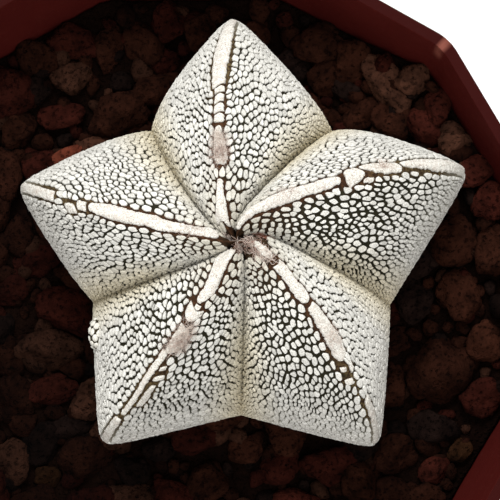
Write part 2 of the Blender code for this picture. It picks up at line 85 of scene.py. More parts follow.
def take_pattern(thing):
    """Keep the points and faces of a shape that is copied often, and remove the shape."""
    pattern = points_of(thing), faces_of(thing)
    bpy.data.objects.remove(thing, do_unlink=True)
    return pattern


def join_shapes(name, shapes):
    """One mesh from pairs of points and faces."""
    all_points, all_faces = [], []
    for points, faces in shapes:
        first = len(all_points)
        all_points += points.tolist()
        all_faces += [tuple(first + corner for corner in face) for face in faces]
    mesh = bpy.data.meshes.new(name)
    mesh.from_pydata(all_points, [], all_faces)
    mesh.shade_smooth()
    thing = bpy.data.objects.new(name, mesh)
    bpy.context.scene.collection.objects.link(thing)
    return thing


def paint(thing, name, values):
    """Give each vertex a number that a material can read."""
    layer = thing.data.attributes.new(name, "FLOAT", "POINT")
    layer.data.foreach_set("value", np.asarray(values, float).ravel())


def declare(thing, finish, slot, *replaced):
    """Put a finish on a piece, attach it to the root body, and hide the CAD nodes it stands for.
    The slot is not used.
    """
    finish.put_on(thing)
    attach(thing, "root")
    if replaced:
        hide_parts(*replaced)
    triangles = sum(len(face.vertices) - 2 for face in thing.data.polygons)
    print(f"{thing.name}: {triangles} triangles")


# %% [markdown]
# A material is a small graph of nodes. Nearly all finishes here are mixes of a few colours, steered
# by noise at the right scale, with a bump for the finest relief. These helpers keep each finish
# short: one adds a node and sets its sockets, the others make the usual pieces of a graph.

# %% Helpers for materials
class Finish:
    """A Principled material that is built up node by node."""

    def __init__(self, name, roughness, specular=0.5):
        self.material = bpy.data.materials.new(name)
        self.material.use_nodes = True
        self.tree = self.material.node_tree
        self.shader = self.tree.nodes["Principled BSDF"]
        self.shader.inputs["Roughness"].default_value = roughness
        self.shader.inputs["Specular IOR Level"].default_value = specular
        self.place = self.tree.nodes.new("ShaderNodeTexCoord").outputs["Object"]

    def node(self, kind, settings=None, **inputs):
        """Add a node, with its settings, and its sockets given by name or as i and a number."""
        node = self.tree.nodes.new("ShaderNode" + kind)
        for key, value in (settings or {}).items():
            setattr(node, key, value)
        for key, value in inputs.items():
            socket = node.inputs[int(key[1:])] if key[1:].isdigit() else node.inputs[key]
            if isinstance(value, bpy.types.NodeSocket):
                self.tree.links.new(value, socket)
            else:
                socket.default_value = value
        return node

    def noise(self, size, detail=2.0, roughness=0.5):
        """Noise whose lumps are about this size, from 0 to 1."""
        return self.node(
            "TexNoise", Vector=self.place, Scale=1 / size, Detail=detail, Roughness=roughness
        ).outputs["Fac"]

    def cells(self, size, feature="F1"):
        """Distance to the middles or the edges of cells about this size."""
        return self.node(
            "TexVoronoi", {"feature": feature}, Vector=self.place, Scale=1 / size
        ).outputs["Distance"]

    def painted(self, name):
        """A number that was painted on the mesh."""
        return self.node("Attribute", {"attribute_name": name}).outputs["Fac"]

    def fit(self, value, low, high, to_low=0.0, to_high=1.0):
        """Stretch a range of a value to another range, and hold it there."""
        return self.node(
            "MapRange", Value=value, i1=low, i2=high, i3=to_low, i4=to_high
        ).outputs["Result"]

    def maths(self, operation, first, second):
        """Add, multiply or otherwise join two values."""
        return self.node("Math", {"operation": operation}, i0=first, i1=second).outputs[0]

    def mix(self, share, first, second, blend="MIX"):
        """Mix two colours, each a socket or a list of red, green and blue."""
        node = self.tree.nodes.new("ShaderNodeMix")
        node.data_type = "RGBA"
        node.blend_type = blend
        colours = [socket for socket in node.inputs if socket.type == "RGBA"]
        for socket, value in zip([node.inputs["Factor"], *colours], (share, first, second)):
            if isinstance(value, bpy.types.NodeSocket):
                self.tree.links.new(value, socket)
            elif isinstance(value, (tuple, list)):
                socket.default_value = (*value, 1.0)
            else:
                socket.default_value = value
        return next(socket for socket in node.outputs if socket.type == "RGBA")

    def colour(self, socket):
        """Use a colour as the surface's own."""
        self.tree.links.new(socket, self.shader.inputs["Base Color"])

    def rough(self, socket):
        """Use a value as the surface's roughness."""
        self.tree.links.new(socket, self.shader.inputs["Roughness"])

    def bump(self, height, depth, strength=1.0):
        """Add relief of this depth, on top of any relief that is there."""
        node = self.node("Bump", Height=height, Distance=depth, Strength=strength)
        normal = self.shader.inputs["Normal"]
        if normal.is_linked:
            self.tree.links.new(normal.links[0].from_socket, node.inputs["Normal"])
        self.tree.links.new(node.outputs["Normal"], normal)

    def put_on(self, thing):
        """Make this the only material of a piece."""
        thing.data.materials.clear()
        thing.data.materials.append(self.material)


print("helpers ready")

# %% [markdown]
# The camera comes first, because it decides what detail is worth making. The plant was looked at
# from straight above, with a long lens about a third of a metre up. A long lens keeps the ribs in
# proportion, and the slight tilt matches the rim that shows at one corner.

# %% Camera
CAMERA_PLACE = (14.75 * MM, -16.9 * MM, 327 * MM)
CAMERA_TILT = (math.radians(5.5), math.radians(1.5), 0)
CAMERA_SENSOR, CAMERA_LENS = 36, 146  # in mm
bpy.ops.object.camera_add(location=CAMERA_PLACE, rotation=CAMERA_TILT)
camera = bpy.context.object
camera.data.sensor_width = CAMERA_SENSOR
camera.data.lens = CAMERA_LENS
camera.data.clip_start = 10 * MM
bpy.context.scene.camera = camera
print("camera at", tuple(round(value, 4) for value in camera.location))

# %% [markdown]
# The studio is a pale floor under a soft sky. A broad lamp stands beyond the top of the picture,
# so the flanks that face it are bright and the others are in shade. Two weaker lamps fill the
# shade from below on the right and the left. The plain colour transform keeps whites white and
# blacks deep.

# %% Floor and light
floor = primitive("floor", bpy.ops.mesh.primitive_plane_add, size=4)
floor_finish = Finish("pale_floor", 0.8)
floor_finish.colour(
    floor_finish.mix(floor_finish.noise(0.2), (0.86, 0.86, 0.85), (0.9, 0.9, 0.89))
)
floor_finish.put_on(floor)

LAMP_AIM = (0.0, 0.0, 0.07)
LAMPS = (
    # name, place, side, watts
    ("key", (-0.05, 0.55, 0.75), 0.35, 8.5),
    ("right", (0.25, -0.30, 0.80), 0.60, 4.0),
    ("left", (-0.50, -0.25, 0.45), 0.40, 1.2),
)
SKY_COLOUR, SKY_STRENGTH = (1.0, 0.99, 0.97, 1.0), 0.35
for name, place, side, watts in LAMPS:
    bpy.ops.object.light_add(type="AREA", location=place)
    lamp = bpy.context.object
    lamp.name = name
    lamp.data.size = side
    lamp.data.energy = watts
    lamp.rotation_euler = (Vector(LAMP_AIM) - Vector(place)).to_track_quat("-Z", "Y").to_euler()

world = bpy.data.worlds.new("studio")
bpy.context.scene.world = world
world.use_nodes = True
sky = world.node_tree.nodes["Background"]
sky.inputs["Color"].default_value = SKY_COLOUR
sky.inputs["Strength"].default_value = SKY_STRENGTH
bpy.context.scene.view_settings.view_transform = "Standard"
print("lamps:", len(LAMPS))

# %% [markdown]
# The body of the plant is a five-pointed star with rounded ribs, drawn by formulas and not by
# hand, so that flecks can be laid on it exactly. A flank is the surface from a ridge to the valley
# beside it; five ribs have ten flanks. A place on a flank has two numbers: how far across it lies
# from ridge (0) to valley (1), and how far down, from the crown (0) over the widest point (1) to
# the soil (2). The ribs don't leave the crown quite straight: each swings a little round the axis
# as it grows out, which is written as a turn that fades towards the rib's tip.

# %% The plant's form
RIBS, FLANKS = 5, 10
PLANT_PLACE = np.array((7.0, 6.8, 65.0)) * MM
RIDGE_BEARINGS = (19.8, 91.6, 163.2, 234.2, 305.2)  # in degrees, one for each rib
RIDGE_REACHES = (30.6, 30.2, 29.4, 29.6, 29.7)  # in mm
VALLEY_BEARINGS = (53.6, 125.6, 197.4, 270.0, 341.4)
VALLEY_REACHES = (19.2, 19.2, 19.2, 19.7, 19.4)
# Shoulder is the height of the widest point over the soil, rise is the height from there to the
# crown, and tuck is the half height of the ellipse along which the body draws in below.
RIDGE_SHOULDER, RIDGE_RISE, RIDGE_TUCK = 11.0, 17.5, 20.9
VALLEY_SHOULDER, VALLEY_RISE, VALLEY_TUCK = 8.6, 15.9, 24.7
VALLEY_POWER = 1.3  # the lower, the straighter the valley falls from the crown
RIDGE_SWINGS, RIDGE_CURLS = (17, 10, 7, 6, 18), (64, 36, 20, 15, 42)  # degrees at the crown
VALLEY_SWINGS, VALLEY_CURLS = (12, 13, 5, 4, 12), (48, 27, 30, 38, 70)
CURL_FADE = 0.15  # a swing fades evenly to the rib's tip, a curl is left behind at the crown
FLANK_SWELLS = (1.1, 0.0, 1.1, 0.7, 0.4, 0.7, 0.0, 0.0, 0.1, 0.1)  # halfway out, in mm
RIDGE_ROUNDING = math.radians(1.85)
FLANK_SLANT, FLANK_POWER = 0.34, 9.0  # even fall to the valley, and how late the crease falls
CROWN_DIP, CROWN_DIP_REACH = 1.6, 2.0
BURIED_DEPTH = 4.0
NORMAL_STEP = 0.004  # between the places that a normal is worked out from
TINY = 1e-15  # keeps a division clear of zero


def flank_corners(flank, scale):
    """Bearing and reach of a flank's ridge, then of its valley, for the scale of each ring."""
    rib, behind = divmod(flank, 2)
    valley = (rib - behind) % RIBS
    bearing = VALLEY_BEARINGS[valley]
    if behind and valley > rib:
        bearing -= 360
    near_crown = np.exp(-scale / CURL_FADE)
    ridge_turn = RIDGE_SWINGS[rib] * (1 - scale) + RIDGE_CURLS[rib] * near_crown
    valley_turn = VALLEY_SWINGS[valley] * (1 - scale) + VALLEY_CURLS[valley] * near_crown
    return (
        np.radians(RIDGE_BEARINGS[rib] + ridge_turn),
        RIDGE_REACHES[rib],
        np.radians(bearing + valley_turn),
        VALLEY_REACHES[valley],
    )


def profiles(down):
    """Scale and height of ridge and valley, each for an array of places down the body."""
    upper = np.clip(down, 0, 1)
    depth = np.maximum(down - 1, 0) * RIDGE_SHOULDER
    scale = np.sin(upper * np.pi / 2)
    low = depth * (VALLEY_SHOULDER + BURIED_DEPTH) / (RIDGE_SHOULDER + BURIED_DEPTH)
    valley_rise = VALLEY_RISE * (1 - scale**VALLEY_POWER) ** (1 / VALLEY_POWER)
    return (
        scale * np.sqrt(1 - (depth / RIDGE_TUCK) ** 2),
        RIDGE_SHOULDER + RIDGE_RISE * np.sqrt(1 - scale**2) - depth,
        scale * np.sqrt(1 - (low / VALLEY_TUCK) ** 2),
        VALLEY_SHOULDER + valley_rise - low,
    )


def star(flank, across, ridge_scale, valley_scale, swung):
    """Bearing and reach of the star's outline, and the rounded share from ridge to valley."""
    ridge_at, ridge_reach, valley_at, valley_reach = flank_corners(flank, swung)
    span = np.abs(valley_at - ridge_at)
    off_ridge = np.minimum(np.hypot(across * span, RIDGE_ROUNDING), span)
    ridge = ridge_reach * ridge_scale
    valley = valley_reach * valley_scale
    level = ridge * np.sin(off_ridge) + valley * np.sin(span - off_ridge)
    reach = ridge * valley * np.sin(span) / np.maximum(level, TINY)
    part = off_ridge / span
    reach = reach + FLANK_SWELLS[flank] * 4 * part * (1 - part) * ridge_scale
    return ridge_at + (valley_at - ridge_at) * across, reach, part


def skin(flank, across, down):
    """Points of the skin, in metres, for arrays of places on one flank."""
    ridge_scale, ridge_height, valley_scale, valley_height = profiles(down)
    swung = np.sin(np.clip(down, 0, 1) * np.pi / 2)
    bearing, reach, part = star(flank, across, ridge_scale, valley_scale, swung)
    fall = FLANK_SLANT * part + (1 - FLANK_SLANT) * part**FLANK_POWER
    height = ridge_height + (valley_height - ridge_height) * fall
    height = height - CROWN_DIP * np.exp(-((reach / CROWN_DIP_REACH) ** 2))
    points = np.stack((reach * np.cos(bearing), reach * np.sin(bearing), height), axis=-1)
    return points * MM + PLANT_PLACE


def unit(vectors):
    """The same directions with a length of one."""
    return vectors / np.maximum(np.linalg.norm(vectors, axis=-1, keepdims=True), TINY)


def outward(flank, across, down):
    """Unit normals of the skin."""
    step = NORMAL_STEP
    along = skin(flank, across, down + step) - skin(flank, across, down - step)
    over = skin(flank, across + step, down) - skin(flank, across - step, down)
    return unit(np.cross(over, along) if flank % 2 else np.cross(along, over))


tips = [skin(2 * rib, 0, 1) for rib in range(RIBS)]
print("rib tips, mm:", [tuple(round(value / MM, 1) for value in tip) for tip in tips])

# %% [markdown]
# Along each ridge the wool has felted into long bands and square blocks, with bare brown skin
# beside them. The table gives each one's outline, read off the plant from crown to tip: the rib,
# and for a few stations down the rib where the band's near and far edges lie. They are given in
# millimetres along the skin, counted from the ridge and positive counter-clockwise. Flecks keep
# clear of the bands, and of a few strips where the skin is bare without one.

# %% Bands on the ridges
BANDS = (
    # rib, then stations: place down, near edge, far edge
    (0, ((0.030, -0.2, 0.4), (0.054, -0.5, 0.9), (0.077, -0.6, 1.2), (0.097, -0.8, 1.3),
         (0.113, -0.93, 0.9), (0.14, -1.1, 0.8), (0.165, -1.23, 0.9), (0.19, -1.22, 0.95),
         (0.215, -1.12, 0.65), (0.25, -1.05, 0.45), (0.295, -0.9, 0.75), (0.32, -0.6, 0.3))),
    (0, ((0.335, -0.4, 0.5), (0.355, -1.6, 1.2), (0.375, -1.0, 1.6), (0.395, -0.2, 1.5))),
    (0, ((0.392, -1.0, -0.4), (0.425, -1.3, -0.7))),
    (0, ((0.405, 0.5, 1.4), (0.43, -0.2, 1.9), (0.48, -0.5, 1.6), (0.52, -0.5, 1.0))),
    (0, ((0.53, -0.2, 1.0), (0.58, -0.2, 1.3), (0.68, -0.6, 1.45), (0.79, -0.7, 1.3),
         (0.95, -0.6, 1.0))),
    (1, ((0.044, -0.8, 0.0), (0.060, -0.75, 0.2), (0.070, -0.78, 0.9), (0.083, -0.86, 2.2),
         (0.096, -0.84, 2.0), (0.104, -0.78, 1.45), (0.114, -0.7, 1.05), (0.128, -0.6, 0.72),
         (0.145, -0.5, 0.36), (0.165, -0.58, 0.25))),
    (1, ((0.205, -0.6, 0.3), (0.23, -1.3, 0.8), (0.26, -1.1, 0.9), (0.295, -0.4, 0.7),
         (0.315, -0.3, 0.6))),
    (1, ((0.326, -0.4, 0.15), (0.338, -0.5, 0.9), (0.355, -0.45, 0.9))),
    (1, ((0.361, -0.45, 1.0), (0.388, -0.42, 0.95))),
    (1, ((0.394, -0.45, 0.95), (0.421, -0.45, 0.9))),
    (1, ((0.428, -0.4, 0.95), (0.449, -0.4, 1.0))),
    (1, ((0.457, -0.4, 1.5), (0.50, -0.45, 1.7), (0.55, -0.5, 1.85), (0.61, -0.65, 1.9),
         (0.70, -0.6, 1.4), (0.80, -0.5, 1.0), (0.95, -0.5, 0.6))),
    (2, ((0.056, -1.1, -0.4), (0.070, -1.9, -0.4), (0.085, -2.5, -0.33), (0.102, -2.36, -0.25),
         (0.125, -1.78, -0.16), (0.15, -1.6, 0.0), (0.18, -1.5, 0.2), (0.215, -1.4, 0.5),
         (0.25, -1.6, 0.3), (0.30, -1.3, 0.7), (0.37, -1.3, 0.9), (0.41, -1.0, 0.7),
         (0.44, -0.5, 0.4))),
    (2, ((0.452, -0.6, 0.7), (0.487, -0.4, 0.9))),
    (2, ((0.50, 0.1, 1.4), (0.545, 0.4, 1.9))),
    (2, ((0.60, -0.6, 0.8), (0.75, -0.6, 0.7), (0.95, -0.5, 0.5))),
    (3, ((0.026, -0.4, 0.45), (0.04, -1.3, 0.4), (0.055, -2.1, 0.28), (0.077, -2.9, 0.36),
         (0.099, -2.5, 0.5), (0.113, -1.8, 0.68), (0.142, -1.3, 0.95), (0.162, -0.95, 0.95),
         (0.195, -0.9, 0.0))),
    (3, ((0.198, -0.3, 0.4), (0.212, -0.3, 0.4))),
    (3, ((0.216, -1.7, 1.2), (0.235, -1.5, 1.3), (0.250, -1.1, 0.6))),
    (3, ((0.268, -0.5, 0.6), (0.30, -0.6, 1.4), (0.34, -0.5, 1.7), (0.362, -0.2, 1.1))),
    (3, ((0.36, -0.5, 0.4), (0.45, -0.5, 0.3), (0.55, -0.15, 0.5), (0.65, -0.15, 0.5))),
    (3, ((0.415, 0.65, 1.4), (0.432, 0.65, 1.5))),
    (3, ((0.455, 0.75, 2.0), (0.475, 0.8, 2.1))),
    (3, ((0.497, 0.9, 1.6), (0.56, 0.9, 2.0), (0.60, 1.0, 1.8))),
    (3, ((0.68, -0.5, 0.5), (0.80, -0.5, 0.5), (0.95, -0.5, 0.5))),
    (4, ((0.05, -0.3, 0.9), (0.085, -0.8, 0.9), (0.105, -0.4, 0.3))),
    (4, ((0.128, -1.0, 0.7), (0.15, -0.95, 0.9), (0.175, -0.87, 0.75), (0.198, -0.95, 0.45),
         (0.215, -0.93, 0.8), (0.235, -0.88, 1.0), (0.25, -0.7, 0.7))),
    (4, ((0.263, -0.5, 0.6), (0.286, -0.63, 1.05), (0.32, -0.75, 1.3), (0.363, -0.8, 1.4),
         (0.40, -0.85, 1.7), (0.425, -0.95, 1.6), (0.448, -0.6, 0.9))),
    (4, ((0.47, -0.9, -0.1), (0.487, -0.9, -0.2))),
    (4, ((0.478, 0.2, 1.0), (0.505, 0.2, 1.0))),
    (4, ((0.515, -1.0, 0.1), (0.537, -1.0, 0.1))),
    (4, ((0.63, 0.4, 1.4), (0.72, 0.3, 1.5), (0.85, -0.1, 0.8), (0.95, -0.4, 0.4))),
)
BARE_STRIPS = (
    # rib, then places down and how far the clockwise side is bare from the ridge, in mm
    (1, ((0.46, 0.75), (0.50, 0.95), (0.56, 1.0), (0.63, 0.9))),
    (0, ((0.50, 0.75), (0.55, 0.45), (0.61, 0.65), (0.69, 1.0), (0.80, 1.0))),
)
BARE_EDGE = 0.30  # bare skin beside a band in mm
BARE_END = 0.011  # and beyond its ends, in the measure of places down
RIDGE_CLEARANCE = 0.10  # between the flecks of two flanks that meet at a ridge, in mm
VALLEY_CLEARANCE = 0.05


def bare_reach(flank, down):
    """How far from the ridge a flank is kept free of flecks, in mm, at places down."""
    rib, behind = divmod(flank, 2)
    reach = np.full(np.shape(down), RIDGE_CLEARANCE)
    for band_rib, stations in BANDS:
        if band_rib == rib:
            place, near, far = np.array(stations).T
            edge = np.interp(down, place, -near if behind else far) + BARE_EDGE
            beside = (down > place[0] - BARE_END) & (down < place[-1] + BARE_END)
            reach = np.where(beside, np.maximum(reach, edge), reach)
    for strip_rib, stations in BARE_STRIPS:
        if strip_rib == rib and behind:
            place, edge = np.array(stations).T
            beside = (down > place[0]) & (down < place[-1])
            reach = np.where(beside, np.maximum(reach, np.interp(down, place, edge)), reach)
    return reach


print("bands:", len(BANDS))

# %% [markdown]
# The skin itself is dark green, and it shows only as thin grooves between the flecks. Beside the
# bands of wool and round the crown it is brown like cork, and low on the body it is pale with
# fine wool. A sphere is added and its points are moved to the formulas' places, so that the skin
# and the flecks agree. Two numbers are painted on it for the material: how brown the skin is, and
# how far down a point lies.

# %% Skin
FLANK_COLUMNS = 24
UPPER_RINGS = 56
LOWER_RINGS = 20
ROOT_RINGS = ((-5.5, 6.0), (-9.0, 4.6), (-15.0, 3.0), (-22.0, 1.8))  # height and radius in mm
ROOT_TIP = -26.0
BROWN_FADE = 0.7  # width of the change from brown to green in mm
CROWN_BROWN = ((0.12, 0.26), (0.6, 0))  # places down, and how brown the skin is there


def ball(name, segments, rings):
    """Add a unit sphere, to be shaped point by point."""
    return primitive(
        name, bpy.ops.mesh.primitive_uv_sphere_add, segments=segments, ring_count=rings, radius=1
    )


def ring_numbers(places, rings):
    """Which ring of a unit sphere each point lies on, counted from its top."""
    return np.rint(np.arccos(np.clip(places[:, 2], -1, 1)) / np.pi * rings).astype(int)


def make_skin():
    """The whole body and its tap root as one closed mesh."""
    columns = FLANKS * FLANK_COLUMNS
    body_rings = UPPER_RINGS + LOWER_RINGS
    spans = body_rings + len(ROOT_RINGS) + 1
    thing = ball("cactus_skin", columns, spans)
    old = points_of(thing)
    ring = ring_numbers(old, spans)
    turn = np.arctan2(old[:, 1], old[:, 0]) / (2 * np.pi)
    column = np.rint(turn * columns).astype(int) % columns
    flank_order = column // FLANK_COLUMNS
    part = (column % FLANK_COLUMNS) / FLANK_COLUMNS
    deepest = 1 + (RIDGE_SHOULDER + BURIED_DEPTH) / RIDGE_SHOULDER
    lower = (ring - UPPER_RINGS) / LOWER_RINGS * (deepest - 1)
    down = np.where(ring <= UPPER_RINGS, ring / UPPER_RINGS, 1 + lower)
    new = np.zeros_like(old)
    brown = np.ones(len(old))
    for order in range(FLANKS):
        rising = order % 2 == 0
        flank = order if rising else (order + 2) % FLANKS
        chosen = (flank_order == order) & (ring > 0) & (ring <= body_rings)
        across = part[chosen] if rising else 1 - part[chosen]
        new[chosen] = skin(flank, across, down[chosen])
        off_ridge = np.linalg.norm(new[chosen] - skin(flank, 0, down[chosen]), axis=1)
        past_bare = off_ridge / MM - bare_reach(flank, down[chosen])
        beside = 1 - np.clip(past_bare / BROWN_FADE, 0, 1)
        brown[chosen] = np.maximum(beside, np.interp(down[chosen], *CROWN_BROWN))
    for number, (height, radius) in enumerate(ROOT_RINGS):
        chosen = ring == body_rings + 1 + number
        bearing = 2 * np.pi * turn[chosen]
        new[chosen] = PLANT_PLACE + MM * np.stack(
            (radius * np.cos(bearing), radius * np.sin(bearing), np.full(chosen.sum(), height)), 1
        )
    new[ring == 0] = PLANT_PLACE + (0, 0, (RIDGE_SHOULDER + RIDGE_RISE - CROWN_DIP) * MM)
    new[ring == spans] = PLANT_PLACE + (0, 0, ROOT_TIP * MM)
    move_points(thing, new)
    paint(thing, "brown", brown)
    paint(thing, "down", down)
    bpy.ops.object.shade_smooth()
    return thing


GROOVE_GREENS = (0.009, 0.008, 0.004), (0.026, 0.023, 0.011)
BARK_BROWNS = (0.074, 0.032, 0.013), (0.13, 0.095, 0.042)  # near the crown, and farther down
BARK_SHADE = (0.022, 0.010, 0.005)
LOW_WOOL = (0.20, 0.19, 0.14), (0.55, 0.53, 0.45)
BARK_PALES, WOOL_THICKENS = (0.36, 0.52), (0.70, 1.0)  # from one place down to another
skin_finish = Finish("green_skin", 0.8, 0.1)
how_far = skin_finish.painted("down")
groove = skin_finish.mix(skin_finish.noise(0.6 * MM), *GROOVE_GREENS)
bark = skin_finish.mix(skin_finish.fit(how_far, *BARK_PALES), *BARK_BROWNS)
cracks = skin_finish.fit(skin_finish.noise(0.35 * MM, 4, 0.65), 0.42, 0.66)
corky = skin_finish.mix(cracks, BARK_SHADE, bark)
woolly = skin_finish.mix(skin_finish.noise(0.3 * MM, 4), *LOW_WOOL)
low_down = skin_finish.fit(how_far, *WOOL_THICKENS)
surface = skin_finish.mix(skin_finish.painted("brown"), groove, corky)
skin_finish.colour(skin_finish.mix(low_down, surface, woolly))
skin_finish.bump(skin_finish.noise(0.15 * MM, 4), 0.05 * MM)

cactus_skin = make_skin()
declare(cactus_skin, skin_finish, "flecked_skin", "cactus")

# %% [markdown]
# White flecks cover the skin, each a low pad of packed wool about a millimetre across, with a
# narrow groove between neighbours. They crowd each other like cells, so they are laid out like
# cells: points are strewn over a flank, each moves a few times to the middle of the ground that
# is nearest to it, and the pad's outline then follows the lines halfway to its neighbours. To
# work in a plane, a flank is unrolled to a sheet with millimetres across and down.

# %% Unrolled flanks
SHEET_ROWS, SHEET_COLUMNS = 240, 33  # of the table that a flank is measured in
SHEET_TOP = 0.004  # the place down where it starts
INSIDE = 1.001  # keeps a place short of the table's last line
FLECK_TOPS = (0.045,) * 8 + (0.11, 0.085)  # each flank's flecks start here, below the crown wool
FLECK_END = 1.97  # and end just above the soil


def look_up(table, row, column):
    """Values of a table at places between its rows and columns."""
    row = np.clip(row, 0, len(table) - INSIDE)
    column = np.clip(column, 0, table.shape[1] - INSIDE)
    top, left = row.astype(int), column.astype(int)
    down, right = row - top, column - left
    upper = table[top, left] * (1 - right) + table[top, left + 1] * right
    lower = table[top + 1, left] * (1 - right) + table[top + 1, left + 1] * right
    return upper * (1 - down) + lower * down


class Sheet:
    """A flank unrolled flat: u runs across from its middle line, v runs down from the crown."""

    def __init__(self, flank):
        self.flank = flank
        self.down = np.linspace(SHEET_TOP, FLECK_END, SHEET_ROWS)
        steps = np.linspace(0, 1, SHEET_COLUMNS)
        points = skin(flank, steps[None, :], self.down[:, None]) / MM
        from_ridge = np.zeros((SHEET_ROWS, SHEET_COLUMNS))
        np.cumsum(np.linalg.norm(np.diff(points, axis=1), axis=-1), axis=1, out=from_ridge[:, 1:])
        self.width = from_ridge[:, -1]
        self.across = np.array([np.interp(steps, row / row[-1], steps) for row in from_ridge])
        run = np.linalg.norm(np.diff(points[:, SHEET_COLUMNS // 2], axis=0), axis=-1)
        self.length = np.concatenate(([0], np.cumsum(run)))
        self.top = np.interp(FLECK_TOPS[flank], self.down, self.length)

    def width_at(self, v):
        """How wide the sheet is, in millimetres."""
        return np.interp(v, self.length, self.width)

    def down_at(self, v):
        """The place down the body."""
        return np.interp(v, self.length, self.down)

    def across_at(self, from_ridge, down):
        """How far across a flank the points lie that are some millimetres from its ridge."""
        row = np.interp(down, self.down, np.arange(SHEET_ROWS))
        share = from_ridge / np.interp(down, self.down, self.width)
        return look_up(self.across, row, np.clip(share, 0, 1) * (SHEET_COLUMNS - 1))

    def places(self, u, v):
        """How far across and down the points of the sheet lie."""
        down = self.down_at(v)
        return self.across_at(u + self.width_at(v) / 2, down), down

    def raised(self, u, v, height):
        """Points in the air over the sheet, at a height in millimetres."""
        across, down = self.places(u, v)
        lift = outward(self.flank, across, down) * height[..., None] * MM
        return skin(self.flank, across, down) + lift


sheets = [Sheet(flank) for flank in range(FLANKS)]
print("flank lengths, mm:", [round(sheet.length[-1], 1) for sheet in sheets])

# %% [markdown]
# One pad is modelled as the pattern for all: a disc is extruded up for its side and again
# inwards for its rounded shoulder, and its top is poked to a point that stands a little higher.
# Every fleck then takes this pattern, with its own outline in place of the circle.

# %% Fleck pattern
FLECK_SIDES = 12
FLECK_SINK = 0.8  # how far a pad's base is under the skin, against its height
FLECK_SIDE, FLECK_PEAK = 0.75, 0.05  # height of its side, and of its point over the flat top
FLECK_SHOULDER = 0.86  # radius of the flat top against the outline


def make_pad_pattern():
    """A unit pad: radius 1, from below the skin up to a height of about 1."""
    pad = primitive(
        "pad",
        bpy.ops.mesh.primitive_circle_add,
        vertices=FLECK_SIDES,
        radius=1,
        fill_type="NGON",
        location=(0, 0, -FLECK_SINK),
    )
    bpy.ops.object.transform_apply(location=True)
    bpy.ops.object.mode_set(mode="EDIT")
    bpy.ops.mesh.select_all(action="SELECT")
    for rise, size in ((FLECK_SINK + FLECK_SIDE, 1.0), (1 - FLECK_SIDE, FLECK_SHOULDER)):
        bpy.ops.mesh.extrude_region_move(TRANSFORM_OT_translate={"value": (0, 0, rise)})
        bpy.ops.transform.resize(value=(size, size, 1))
    bpy.ops.mesh.poke(offset=FLECK_PEAK)
    bpy.ops.object.mode_set(mode="OBJECT")
    return take_pattern(pad)


pad_points, pad_faces = make_pad_pattern()
print("pad:", len(pad_points), "points,", len(pad_faces), "faces")

# %% [markdown]
# Now the cells. The strewn points are drawn from a seeded generator, so each run gives the same
# plant. An outline is found without cutting any polygons: in each direction the pad may reach as
# far as the nearest halfway line allows, and a soft minimum over the neighbours rounds its
# corners. Grooves are narrow near the tips, where the wool closes up. Flecks that lie deep
# between the ribs or near the crown are creamier, and near the crown they are also painted
# darker, as painted shade round the crown.

# %% Flecks
FLECK_SEED = 100
FLECK_AREA = 0.70  # ground of one fleck in square millimetres
FLECK_STRETCHES = (1.3, 1.5, 1.6, 1.3, 1.4, 1.4, 1.2, 0.75, 1.3, 1.4)  # length against width
FLECK_HEIGHT = (0.20, 0.27)
FLECK_TILT = 0.10  # how far a fleck's far sides rise or fall, against its height
FLECK_LIMIT = 0.54  # no fleck reaches farther than this from its middle
GROUND_POINTS = 40  # sample points of ground for each fleck
SETTLING_ROUNDS = 5
NEIGHBOURS = 12
CORNER_SHARPNESS = 14
GROOVE_HALF = (  # places down, and half a groove in mm there
    (0.0, 0.55, 0.75, 0.95, 2.0), (0.088, 0.086, 0.050, 0.015, 0.01)
)
GROOVE_SHARES = (0.95, 1.6, 1.1, 0.95, 1.15, 0.85, 1.4, 1.4, 0.92, 1.35)  # one for each flank
GROOVE_LEAST = 0.5  # width of the narrowest groove against the mean
CLOSED_SHARE, CLOSED_GROOVE = 0.12, -0.1  # share of grooves that closed up, and how they overlap
PAIR_HASH = (12.9898, 43758.5453)  # make a chance from 0 to 1 of the numbers of two neighbours
LEAST_REACH, LEAST_ROOM = 0.05, 0.08  # towards a neighbour and towards an edge, in mm
END_ROOM = 0.3  # how far flecks may reach over the sheet's top and end in mm
OUTLINE_WANDER = (0.84, 1.06)
CROWN_SIZE = 1.05  # size of a fleck near the crown against the others
CROWN_SPAN = 9.0  # and how far from the crown that fades, in mm
CREAM_ACROSS = ((0.6, 1.0), (0.0, 1.0))  # places across, and how creamy flecks are there
CREAM_DOWN = ((0.19, 0.40), (0.3, 1.0))  # the same for places down
CROWN_FADE = ((0.08, 0.26), (1.0, 0.0))  # places down, and how much of the crown's cream and painted shade is left
# near the crown flecks are creamier, and painted shade darkens them by up to this share
CROWN_CREAM, CROWN_SHADE_SHARE = 0.4, 0.5
FLECK_TONES = (0.45, 1.0)


def nearest_seed(ground, seeds):
    """Which seed each ground point is nearest to."""
    distance = (seeds**2).sum(axis=1) - 2 * ground @ seeds.T
    return distance.argmin(axis=1)


